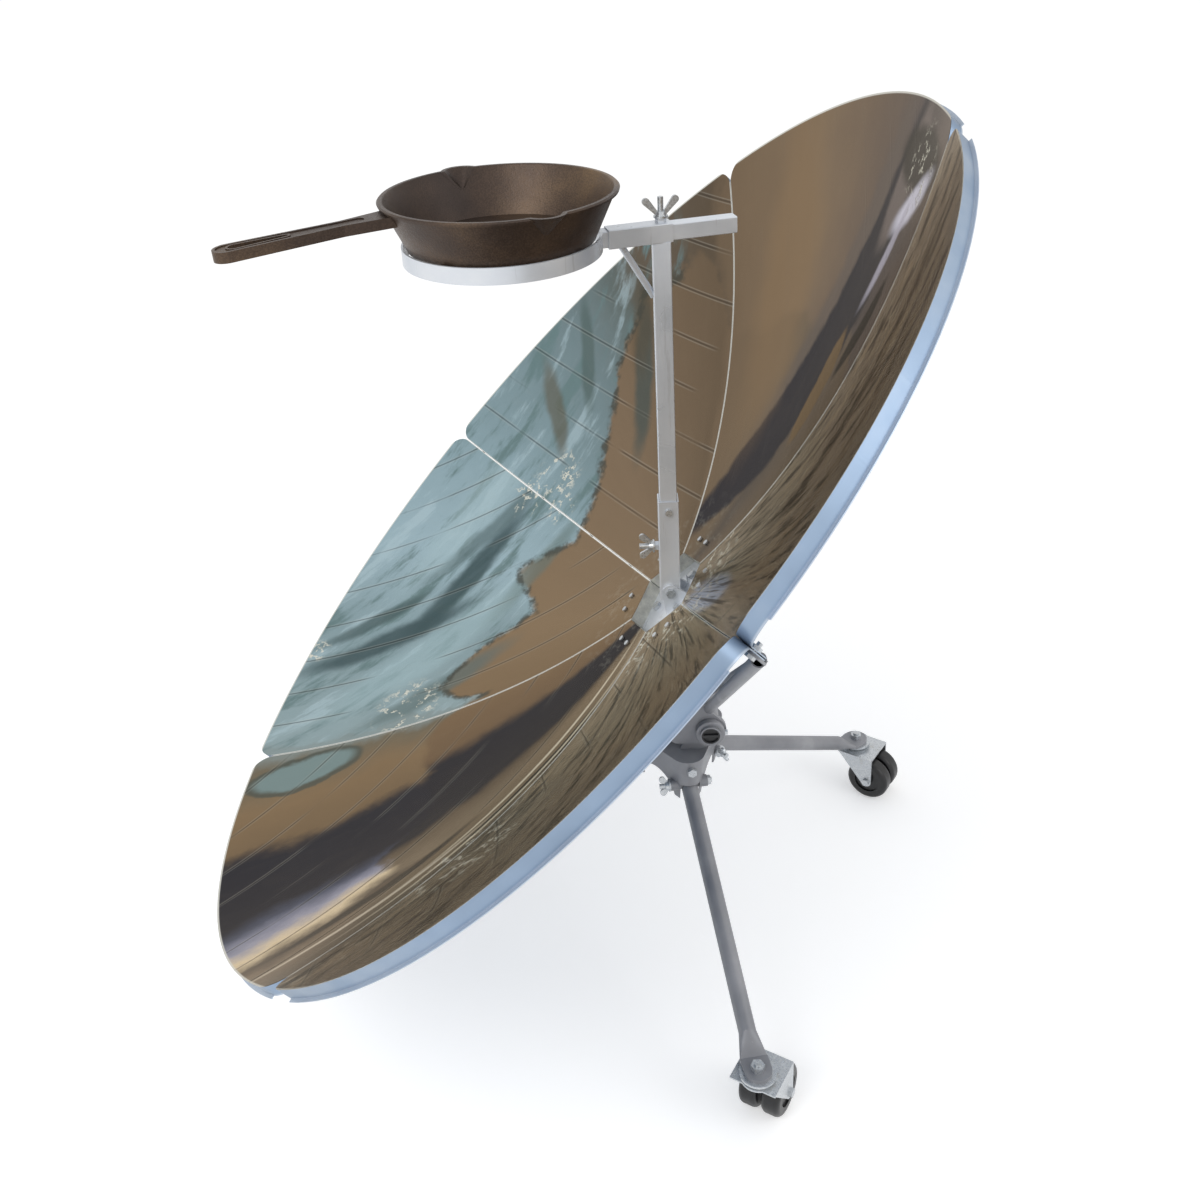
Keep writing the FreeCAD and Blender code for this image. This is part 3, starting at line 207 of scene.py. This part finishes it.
# The radius at which the outer colours take over, by angle, as a share of the rim radius
change_radii = (
    (-7.3, 0.60), (52, 0.60), (60, 0.85), (74, 0.88), (84, 0.74), (96, 0.56), (110, 0.47),
    (118, 0.47), (130, 0.54), (142, 0.44), (152, 0.52), (164, 0.62), (170, 0.50), (172, 0.52),
    (175, 0.60), (184, 0.60), (208, 0.60), (213, 0.74), (222, 0.74), (226, 0.50), (300, 0.50),
    (351, 0.50))

# Single patches of painted reflection, among them painted glints and cream highlights. Each row:
# the petal counted from the middle seam, how far its middle lies up the slope and across, its turn
# in degrees, half its length and width, how soft its border is, how strong it is and its colour.
patches = (
    (0, 0.50, 0.125, -4, 0.24, 0.030, 0.80, 0.70, (98, 90, 86)),
    (0, 0.40, 0.074, -5, 0.36, 0.054, 0.22, 0.97, (30, 34, 48)),
    (0, 0.66, 0.040, -8, 0.09, 0.030, 0.50, 0.80, (120, 110, 108)),
    (0, 0.375, 0.026, 8, 0.085, 0.020, 0.25, 0.90, (118, 96, 68)),
    (0, 0.48, -0.016, -12, 0.075, 0.013, 0.35, 0.90, (26, 26, 30)),
    (0, 0.690, 0.000, 95, 0.085, 0.034, 0.40, 0.92, (40, 40, 42)),
    (0, 0.640, -0.020, -50, 0.060, 0.018, 0.80, 0.95, (222, 222, 240)),
    (0, 0.570, 0.010, -14, 0.070, 0.010, 0.80, 0.80, (190, 188, 206)),
    (0, 0.42, 0.30, 36, 0.24, 0.075, 0.90, 0.55, (136, 112, 84)),
    (1, 0.02, 0.64, 62, 0.11, 0.016, 0.70, 0.75, (82, 100, 98)),
    (1, -0.09, 0.60, 75, 0.10, 0.018, 0.70, 0.70, (96, 92, 76)),
    (1, 0.10, 0.50, 58, 0.15, 0.022, 0.70, 0.80, (70, 82, 80)),
    (1, 0.155, 0.60, 58, 0.10, 0.026, 0.90, 0.60, (84, 76, 62)),
    (2, -0.53, 0.300, 4, 0.15, 0.024, 0.80, 0.90, (64, 84, 88)),
    (2, -0.36, 0.375, 30, 0.15, 0.024, 0.80, 0.90, (64, 84, 88)),
    (2, -0.55, 0.360, 10, 0.10, 0.014, 0.80, 0.80, (74, 94, 96)),
    (2, -0.30, 0.450, 16, 0.15, 0.018, 0.90, 0.70, (84, 104, 106)),
    (2, -0.24, 0.300, 26, 0.12, 0.020, 0.90, 0.60, (98, 116, 112)),
    (2, -0.45, 0.130, 12, 0.13, 0.024, 0.90, 0.70, (92, 110, 110)),
    (2, -0.46, 0.230, 20, 0.18, 0.040, 0.90, 0.50, (164, 190, 196)),
    (2, -0.30, 0.520, 30, 0.20, 0.040, 0.90, 0.45, (166, 190, 196)),
    (3, -0.66, 0.028, 8, 0.092, 0.046, 0.12, 0.85, (78, 84, 78)),
    (3, -0.66, 0.030, 8, 0.078, 0.034, 0.30, 0.95, (122, 142, 142)),
    (3, -0.24, -0.255, 49, 0.24, 0.036, 0.40, 0.90, (132, 114, 92)),
    (3, -0.22, -0.262, 49, 0.14, 0.009, 0.40, 0.95, (26, 22, 20)),
    (3, -0.22, -0.228, 49, 0.21, 0.0035, 0.90, 0.90, (232, 220, 196)),
    (3, -0.25, -0.300, 50, 0.24, 0.0035, 0.90, 0.85, (232, 220, 196)),
    (3, -0.42, -0.400, 44, 0.14, 0.010, 0.60, 0.85, (38, 32, 30)),
    (3, -0.40, -0.440, 46, 0.16, 0.0045, 0.90, 0.85, (224, 212, 192)),
    (5, 0.085, -0.115, -50, 0.060, 0.032, 0.60, 0.90, (184, 196, 216)),
    (5, 0.46, -0.170, -8, 0.25, 0.012, 0.70, 0.70, (58, 50, 44)),
    (5, 0.40, -0.250, -6, 0.26, 0.016, 0.70, 0.55, (134, 118, 98)))


# Places with crumpled foil and painted glints on its creases: up the slope, across and size
crumple_glint_places = ((-0.14, 0.47, 0.060), (-0.21, 0.47, 0.050), (-0.16, 0.40, 0.040), (-0.50, 0.115, 0.070),
            (-0.66, 0.335, 0.030), (-0.28, -0.42, 0.090), (0.68, -0.01, 0.060))


def film_coordinates(shader):
    """Where a point is on the dish: up the slope, across, off the face, radius and turn."""
    here = shader.vector("SUBTRACT", shader.place(), tuple(apex))
    up = shader.vector("DOT_PRODUCT", here, tuple(slope_up))
    across = shader.vector("DOT_PRODUCT", here, (0.0, 1.0, 0.0))
    out = shader.vector("DOT_PRODUCT", here, tuple(facing))
    square = shader.maths("ADD", shader.maths("POWER", up, 2.0),
                          shader.maths("POWER", across, 2.0))
    radius = shader.maths("SQRT", square)
    above = shader.maths("SUBTRACT", out, shader.maths("DIVIDE", square, 4.0 * focal))
    angle = shader.maths("ARCTAN2", across, up)
    turn = shader.maths("SUBTRACT", shader.maths("DIVIDE", angle, 2.0 * math.pi),
                        seam_turn / 360.0)
    return up, across, above, radius, shader.maths("FRACT", turn)


def film_normal(shader, up, across, is_film):
    """The smooth normal of the parabola on the film, and the mesh's own normal elsewhere."""
    lean = shader.maths("DIVIDE", up, -2.0 * focal)
    side = shader.maths("DIVIDE", across, -2.0 * focal)
    slant = slope_up.x
    smooth = shader.vector("NORMALIZE", shader.join(
        shader.maths("MULTIPLY", shader.maths("SUBTRACT", lean, 1.0), slant), side,
        shader.maths("MULTIPLY", shader.maths("ADD", lean, 1.0), slant)))
    world = shader.tree.nodes.new("ShaderNodeVectorTransform")
    world.vector_type = "NORMAL"
    world.convert_from = "OBJECT"
    world.convert_to = "WORLD"
    shader.put(smooth, world.inputs[0])
    own = shader.tree.nodes.new("ShaderNodeNewGeometry").outputs["Normal"]
    pick = shader.tree.nodes.new("ShaderNodeMix")
    pick.data_type = "VECTOR"
    shader.put(is_film, pick.inputs["Factor"])
    shader.put(own, pick.inputs[4])
    shader.put(world.outputs[0], pick.inputs[5])
    return pick.outputs[1]


def add_patch(shader, colour, patch, place):
    """One long soft patch of painted reflection with a ragged border, kept to its own petal."""
    petal, middle_up, middle_across, turned, half_length, half_width, soft, strength, tone = patch
    up, across, petal_number, ragged = place
    angle = math.radians(turned)
    off_up = shader.maths("SUBTRACT", up, middle_up)
    off_across = shader.maths("SUBTRACT", across, middle_across)
    along = shader.maths("ADD", shader.maths("MULTIPLY", off_up, math.cos(angle)),
                         shader.maths("MULTIPLY", off_across, math.sin(angle)))
    beside = shader.maths("SUBTRACT", shader.maths("MULTIPLY", off_across, math.cos(angle)),
                          shader.maths("MULTIPLY", off_up, math.sin(angle)))
    sway = min(patch_sway, half_width * 1.6)
    beside = shader.maths("ADD", beside, shader.maths("MULTIPLY", ragged, sway))
    far = shader.vector("LENGTH", shader.join(shader.maths("DIVIDE", along, half_length),
                                              shader.maths("DIVIDE", beside, half_width), 0.0))
    amount = shader.step(far, 1.0 - soft / 2.0, 1.0 + soft / 2.0, strength, 0.0)
    own = shader.maths("COMPARE", petal_number, float(petal), 0.5)
    return shader.mix(shader.maths("MULTIPLY", amount, own), colour, paint(*tone))


def mirror_petal():
    """Mirror film on a pressed sheet: painted reflections of the outdoors in bands, painted glints
    and highlights, strip seams and creases.
    """
    shader = Shader("mirror_petal")
    up, across, above, radius, turn = film_coordinates(shader)
    flat_place = shader.join(up, across, 0.0)

    # Ragged borders between the bands
    ragged = shader.maths("SUBTRACT", shader.noise(flat_place, 7.0, 6.0, 0.62), 0.5)
    soft = shader.maths("SUBTRACT", shader.noise(flat_place, 2.3, 2.0), 0.5)
    sway = shader.maths("ADD", shader.maths("MULTIPLY", ragged, 0.030),
                        shader.maths("MULTIPLY", soft, 0.030))
    seam_part = shader.maths("MULTIPLY", turn, float(petal_count))
    in_petal = shader.maths("FRACT", seam_part)
    first = shader.maths("SUBTRACT", seam_part, in_petal)
    swayed = shader.maths("ADD", in_petal, shader.maths("MULTIPLY", sway, 6.0))
    swayed = shader.maths("MINIMUM", shader.maths("MAXIMUM", swayed, 0.01), 0.99)
    bands = shader.maths("DIVIDE", shader.maths("ADD", first, swayed), float(petal_count))
    inner = shader.ramp(bands, angle_stops(inner_tones))
    outer = shader.ramp(bands, angle_stops(outer_tones))
    limits = shader.ramp(turn, [(turn_part(a), (r, r, r, 1.0)) for a, r in change_radii])
    limit = shader.maths("MULTIPLY", limits, rim_radius)
    reach = shader.maths("ADD", radius, shader.maths("MULTIPLY", ragged, 0.16))
    colour = shader.mix(shader.step(shader.maths("SUBTRACT", reach, limit), -0.012, 0.012),
                        inner, outer)

    # Painted reflection of the sky: darker mottling and paler painted glints
    sky = shader.maths("MULTIPLY", shader.step(turn, turn_part(62), turn_part(66)),
                       shader.step(turn, turn_part(171), turn_part(172), 1.0, 0.0))
    sky_only = shader.maths("MULTIPLY", sky, shader.step(shader.maths("SUBTRACT", reach, limit),
                                                         0.0, 0.02))
    drift = shader.join(shader.maths("ADD", shader.maths("MULTIPLY", up, 5.0),
                                     shader.maths("MULTIPLY", across, -2.0)),
                        shader.maths("ADD", shader.maths("MULTIPLY", across, 13.0),
                                     shader.maths("MULTIPLY", up, -5.0)), 0.0)
    cloud = shader.noise(drift, 1.0, 6.0, 0.66)
    colour = shader.mix(shader.maths("MULTIPLY", shader.step(cloud, 0.50, 0.62), sky_only),
                        colour, paint(104, 128, 130))
    shine = shader.maths("MULTIPLY", shader.step(cloud, 0.36, 0.46, 0.5, 0.0), sky_only)
    colour = shader.mix(shine, colour, paint(176, 198, 206))

    for patch in patches:
        colour = add_patch(shader, colour, patch, (up, across, first, ragged))

    # A dark torn border painted into the reflection, between the reflected sky and the ground
    border = shader.maths("ABSOLUTE", shader.maths("SUBTRACT", reach, limit))
    torn = shader.step(border, 0.004, 0.020, 1.0, 0.0)
    dots = shader.step(shader.noise(flat_place, 30.0, 4.0, 0.7), 0.42, 0.56)
    torn = shader.maths("MULTIPLY", shader.maths("MULTIPLY", torn, dots), sky)
    colour = shader.mix(shader.maths("MULTIPLY", torn, 0.80), colour, paint(66, 68, 62))

    # Painted reflection streaks that run outwards, dark, pale and bright, strong on the two lower
    # near petals and faint elsewhere
    spoke = shader.join(shader.maths("MULTIPLY", turn, 46.0),
                        shader.maths("MULTIPLY", radius, 2.4), 0.0)
    streak = shader.noise(spoke, 3.4, 6.0, 0.66)
    thin_streak = shader.noise(spoke, 11.0, 4.0, 0.6)
    lower = shader.step(first, 3.4, 3.6, 0.02, 1.0)
    dark = shader.maths("MULTIPLY", shader.step(streak, 0.50, 0.60), lower)
    pale = shader.maths("MULTIPLY", shader.step(streak, 0.42, 0.46, 1.0, 0.0), lower)
    thin = shader.maths("MULTIPLY", shader.step(thin_streak, 0.58, 0.66), lower)
    colour = shader.mix(shader.maths("MULTIPLY", dark, 0.80), colour, paint(42, 36, 32))
    colour = shader.mix(shader.maths("MULTIPLY", pale, 0.50), colour, paint(176, 158, 132))
    colour = shader.mix(shader.maths("MULTIPLY", thin, 0.60), colour, paint(206, 194, 172))

    # Crumpled foil: pale painted glints on the creases close to the hub and where a strip was
    # pressed on badly; the same creases also go into the bump
    fold = shader.maths("SUBTRACT", shader.noise(flat_place, 17.0, 5.0, 0.68), 0.5)
    wrinkle_glint = shader.step(shader.maths("ABSOLUTE", fold), 0.010, 0.034, 1.0, 0.0)
    broken_fold = shader.step(shader.noise(flat_place, 60.0, 3.0, 0.6), 0.44, 0.56)
    wrinkle_glint = shader.maths("MULTIPLY", wrinkle_glint, broken_fold)
    where = shader.maths("MULTIPLY", shader.step(radius, 0.11, 0.20, 1.0, 0.0),
                         shader.step(first, 3.4, 3.6, 0.10, 1.0))
    for place_up, place_across, size in crumple_glint_places:
        away = shader.vector("LENGTH", shader.vector("SUBTRACT", flat_place,
                                                     (place_up, place_across, 0.0)))
        where = shader.maths("MAXIMUM", where, shader.step(away, size * 0.5, size, 1.0, 0.0))
    wrinkle_glint = shader.maths("MULTIPLY", wrinkle_glint, where)
    colour = shader.mix(shader.maths("MULTIPLY", wrinkle_glint, 0.85), colour, paint(224, 222, 208))

    # Joins between the strips of film, side by side from each seam
    petal_angle = shader.maths("MULTIPLY", shader.maths("SUBTRACT", 1.0, in_petal),
                               math.radians(360.0 / petal_count))
    off_seam = shader.maths("MULTIPLY", radius, shader.maths("SINE", petal_angle))
    strip = shader.maths("PINGPONG", off_seam, strip_width / 2.0)
    join_line = shader.step(strip, 0.0, strip_line * 2.0, 1.0, 0.0)
    away = shader.step(off_seam, strip_width * 0.6, strip_width * 0.7)
    join_line = shader.maths("MULTIPLY", join_line, away)
    broken = shader.step(shader.noise(flat_place, 5.0, 2.0), 0.40, 0.52)
    broken = shader.maths("MULTIPLY", broken, shader.step(first, 0.4, 0.6, 0.12, 1.0))
    join_line = shader.maths("MULTIPLY", join_line, broken)
    colour = shader.mix(shader.maths("MULTIPLY", join_line, 0.62), colour, paint(48, 48, 46))
    beside_line = shader.step(shader.maths("ABSOLUTE", shader.maths("SUBTRACT", strip, 0.003)),
                              0.0, 0.0014, 1.0, 0.0)
    beside_line = shader.maths("MULTIPLY", shader.maths("MULTIPLY", beside_line, away), broken)
    colour = shader.mix(shader.maths("MULTIPLY", beside_line, 0.22), colour, paint(190, 190, 180))

    # Painted highlights: bright lines along the folded seam edges and round the rim
    low_angle = shader.maths("MULTIPLY", in_petal, math.radians(360.0 / petal_count))
    off_low = shader.maths("MULTIPLY", radius, shader.maths("SINE", low_angle))
    near_seam = shader.maths("MINIMUM", off_seam, off_low)
    edge = shader.step(near_seam, 0.0012, 0.0024, 1.0, 0.0)
    rim = shader.step(radius, rim_radius - 0.0030, rim_radius - 0.0015)
    edge = shader.maths("MAXIMUM", edge, rim)
    colour = shader.mix(shader.maths("MULTIPLY", edge, 0.85), colour, paint(226, 226, 220))

    # The folded skirt and the back of the sheet: a blue-grey tone that is a painted sky reflection,
    # a painted highlight along the lip, and pale foil near the hub
    skirt_tone = shader.ramp(shader.noise(shader.place(), 6.0, 4.0), [
        (0.30, paint(128, 146, 168)), (0.55, paint(148, 168, 192)), (0.75, paint(176, 190, 206))])
    lip_highlight = shader.step(above, -skirt_depth + 0.0035, -skirt_depth + 0.0012)
    skirt_tone = shader.mix(shader.maths("MULTIPLY", lip_highlight, 0.5), skirt_tone, paint(214, 222, 232))
    foil = shader.ramp(shader.noise(shader.place(), 60.0, 5.0, 0.7), [
        (0.30, paint(176, 176, 170)), (0.55, paint(208, 208, 200)), (0.75, paint(240, 238, 226))])
    skirt_tone = shader.mix(shader.step(radius, hub_reach, hub_reach + 0.02, 1.0, 0.0),
                            skirt_tone, foil)
    is_film = shader.step(above, -0.0009, -0.0004)
    final = shader.mix(is_film, skirt_tone, colour)

    # Creases
    crease = shader.noise(spoke, 3.4, 3.0, 0.5)
    ripple = shader.noise(flat_place, 9.0, 2.0, 0.5)
    height = shader.maths("ADD", shader.maths("MULTIPLY", crease, 0.10),
                          shader.maths("MULTIPLY", ripple, 0.8))
    height = shader.maths("ADD", height, shader.maths("MULTIPLY", join_line, 0.5))
    height = shader.maths("ADD", height, wrinkle_glint)
    height = shader.maths("MULTIPLY", height, shader.step(first, 3.4, 3.6, 1.0, 0.3))
    normal = shader.bump(height, 0.35, 0.0015, film_normal(shader, up, across, is_film))
    roughness = shader.step(is_film, 0.0, 1.0, 0.42, 0.22)
    metallic = shader.step(is_film, 0.0, 1.0, 0.55, 0.80)
    return shader.surface(final, metallic, roughness, normal, edge=(0.62, 0.58, 0.52, 1.0))


def silver_paint():
    """Silver powder coat with fine speckle, faint runs and a few rubbed marks."""
    shader = Shader("silver_paint")
    here = shader.place()
    cloud = shader.noise(here, 9.0, 4.0)
    colour = shader.ramp(cloud, [(0.30, paint(200, 207, 216)), (0.55, paint(216, 221, 228)),
                                 (0.75, paint(230, 233, 236))])
    long_place = shader.vector("MULTIPLY", here, (90.0, 90.0, 6.0))
    rubbed = shader.step(shader.noise(long_place, 1.0, 5.0, 0.7), 0.60, 0.68)
    colour = shader.mix(shader.maths("MULTIPLY", rubbed, 0.25), colour, paint(158, 158, 158))
    speckle = shader.noise(here, 900.0, 2.0)
    normal = shader.bump(speckle, 0.12, 0.0004)
    return shader.surface(colour, 0.40, shader.step(cloud, 0.3, 0.7, 0.26, 0.38), normal)


def grey_paint():
    """Dark grey powder coat with a light grain and dust."""
    shader = Shader("grey_paint")
    here = shader.place()
    cloud = shader.noise(here, 14.0, 4.0)
    colour = shader.ramp(cloud, [(0.30, paint(126, 127, 132)), (0.55, paint(142, 143, 147)),
                                 (0.75, paint(158, 158, 162))])
    scuff = shader.step(shader.noise(here, 60.0, 6.0, 0.75), 0.63, 0.70)
    colour = shader.mix(shader.maths("MULTIPLY", scuff, 0.3), colour, paint(178, 177, 174))
    grain = shader.noise(here, 1100.0, 2.0)
    normal = shader.bump(grain, 0.2, 0.0004)
    return shader.surface(colour, 0.25, shader.step(cloud, 0.3, 0.7, 0.38, 0.52), normal)


def zinc():
    """Bright zinc plating with a fine spangle and a few dull stains."""
    shader = Shader("zinc")
    here = shader.place()
    flakes = shader.cells(here, 320.0)
    colour = shader.ramp(flakes, [(0.0, paint(196, 200, 204)), (0.45, paint(188, 192, 196)),
                                  (0.9, paint(206, 209, 211))])
    stain = shader.step(shader.noise(here, 50.0, 4.0), 0.58, 0.72)
    colour = shader.mix(shader.maths("MULTIPLY", stain, 0.25), colour, paint(150, 140, 118))
    scratch = shader.noise(shader.vector("MULTIPLY", here, (900.0, 900.0, 120.0)), 1.0, 3.0)
    normal = shader.bump(scratch, 0.15, 0.0003)
    return shader.surface(colour, 0.75, shader.step(flakes, 0.0, 0.8, 0.24, 0.36), normal)


def black_nylon():
    """Black moulded wheels with dust on the tread."""
    shader = Shader("black_nylon")
    here = shader.place()
    dust = shader.step(shader.noise(here, 55.0, 5.0, 0.7), 0.50, 0.72)
    colour = shader.mix(shader.maths("MULTIPLY", dust, 0.25), paint(20, 20, 22),
                        paint(66, 62, 58))
    normal = shader.bump(shader.noise(here, 420.0, 3.0), 0.2, 0.0005)
    return shader.surface(colour, 0.0, shader.step(dust, 0.0, 1.0, 0.34, 0.62), normal)


def black_plastic():
    shader = Shader("black_plastic")
    here = shader.place()
    mould = shader.noise(here, 300.0, 4.0)
    colour = shader.ramp(mould, [(0.3, paint(22, 22, 24)), (0.7, paint(44, 44, 46))])
    return shader.surface(colour, 0.0, 0.45, shader.bump(mould, 0.25, 0.0004))


def cast_iron():
    """Seasoned cast iron: bronze brown, pebbled, darker in the hollows of the pebbling and in
    random patches.
    """
    shader = Shader("cast_iron")
    here = shader.place()
    pebble = shader.noise(here, 420.0, 4.0, 0.6)
    patch = shader.noise(here, 7.0, 3.0, 0.5)
    colour = shader.ramp(patch, [(0.28, paint(58, 48, 43)), (0.45, paint(76, 62, 53)),
                                 (0.60, paint(98, 80, 64)), (0.78, paint(128, 104, 76))])
    dark = shader.step(pebble, 0.42, 0.60, 0.35, 0.0)
    colour = shader.mix(dark, colour, paint(36, 30, 28))
    height = shader.maths("ADD", shader.maths("MULTIPLY", pebble, 0.7),
                          shader.maths("MULTIPLY", shader.noise(here, 90.0, 3.0), 0.5))
    normal = shader.bump(height, 0.55, 0.0012)
    return shader.surface(colour, 0.62, shader.step(pebble, 0.3, 0.7, 0.34, 0.50), normal)


def dress():
    """Gives every model node the material of its slot."""
    makers = {"mirror_petal": mirror_petal, "silver_paint": silver_paint,
              "grey_paint": grey_paint, "zinc": zinc, "black_nylon": black_nylon,
              "black_plastic": black_plastic, "cast_iron": cast_iron}
    made = {name: maker() for name, maker in makers.items()}
    for part in frame["record"]["subparts"]:
        piece = nodes[part["node"]]
        piece.data.materials.clear()
        piece.data.materials.append(made[part["material_slot"]])


def floor():
    """A wide pale floor that shows white to the camera and keeps the shadow."""
    half = floor_size / 2.0
    mesh = bpy.data.meshes.new("floor")
    corners = [(-half, -half, 0.0), (half, -half, 0.0), (half, half, 0.0), (-half, half, 0.0)]
    mesh.from_pydata(corners, [], [(0, 1, 2, 3)])
    piece = bpy.data.objects.new("floor", mesh)
    bpy.context.scene.collection.objects.link(piece)
    shader = Shader("floor")
    rays = shader.tree.nodes.new("ShaderNodeLightPath")
    seen = shader.maths("MAXIMUM", rays.outputs["Is Camera Ray"], rays.outputs["Is Glossy Ray"])
    seen = shader.maths("MAXIMUM", seen, rays.outputs["Is Transmission Ray"])
    diffuse = shader.tree.nodes.new("ShaderNodeBsdfDiffuse")
    diffuse.inputs["Color"].default_value = (0.80, 0.80, 0.80, 1.0)
    glow = shader.tree.nodes.new("ShaderNodeEmission")
    glow.inputs["Color"].default_value = (1.0, 1.0, 1.0, 1.0)
    shader.put(shader.maths("MULTIPLY", seen, floor_glow), glow.inputs["Strength"])
    both = shader.tree.nodes.new("ShaderNodeAddShader")
    shader.put(diffuse.outputs[0], both.inputs[0])
    shader.put(glow.outputs[0], both.inputs[1])
    shader.put(both.outputs[0], shader.output.inputs["Surface"])
    mesh.materials.append(shader.material)


def area_light(name, place, target, size, power):
    data = bpy.data.lights.new(name, "AREA")
    data.shape = "DISK"
    data.size = size
    data.energy = power
    lamp = bpy.data.objects.new(name, data)
    lamp.location = place
    lamp.rotation_euler = (Vector(target) - Vector(place)).to_track_quat("-Z", "Y").to_euler()
    bpy.context.scene.collection.objects.link(lamp)


def lights():
    """A bright even room with one soft key and one soft fill."""
    world = bpy.data.worlds.new("room")
    world.use_nodes = True
    tree = world.node_tree
    tree.nodes.clear()
    rays = tree.nodes.new("ShaderNodeLightPath")
    either = tree.nodes.new("ShaderNodeMath")
    either.operation = "MAXIMUM"
    tree.links.new(rays.outputs["Is Camera Ray"], either.inputs[0])
    tree.links.new(rays.outputs["Is Glossy Ray"], either.inputs[1])
    level = tree.nodes.new("ShaderNodeMapRange")
    level.inputs["To Min"].default_value = world_light
    level.inputs["To Max"].default_value = 1.0
    tree.links.new(either.outputs[0], level.inputs["Value"])
    back = tree.nodes.new("ShaderNodeBackground")
    back.inputs["Color"].default_value = (1.0, 1.0, 1.0, 1.0)
    tree.links.new(level.outputs["Result"], back.inputs["Strength"])
    output = tree.nodes.new("ShaderNodeOutputWorld")
    tree.links.new(back.outputs[0], output.inputs["Surface"])
    bpy.context.scene.world = world
    area_light("key", (-1.6, -2.4, 3.2), (0.0, 0.0, 0.6), 1.6, key_power)
    area_light("fill", (2.6, -1.2, 2.0), (0.1, 0.0, 0.5), 1.8, fill_power)


def camera():
    """The camera that took the photo, level with nothing: it leans down and is a little tilted."""
    yaw = math.radians(camera_yaw)
    pitch = math.radians(camera_pitch)
    roll = math.radians(camera_roll)
    ahead = Vector((-math.sin(yaw) * math.cos(pitch), math.cos(yaw) * math.cos(pitch),
                    -math.sin(pitch)))
    level = Vector((math.cos(yaw), math.sin(yaw), 0.0))
    down = ahead.cross(level)
    right = level * math.cos(roll) + down * math.sin(roll)
    below = down * math.cos(roll) - level * math.sin(roll)
    data = bpy.data.cameras.new("camera")
    data.sensor_width = 36.0
    data.lens = camera_focal * 36.0 / picture
    data.shift_x = (picture / 2.0 - camera_centre_x) / picture
    data.shift_y = (camera_centre_y - picture / 2.0) / picture
    data.clip_end = 100.0
    piece = bpy.data.objects.new("camera", data)
    turn = Matrix((right, -below, -ahead)).transposed().to_4x4()
    piece.matrix_world = Matrix.Translation(camera_place) @ turn
    bpy.context.scene.collection.objects.link(piece)
    bpy.context.scene.camera = piece


def main():
    bpy.context.scene.view_settings.view_transform = "Standard"
    dress()
    floor()
    lights()
    camera()


main()
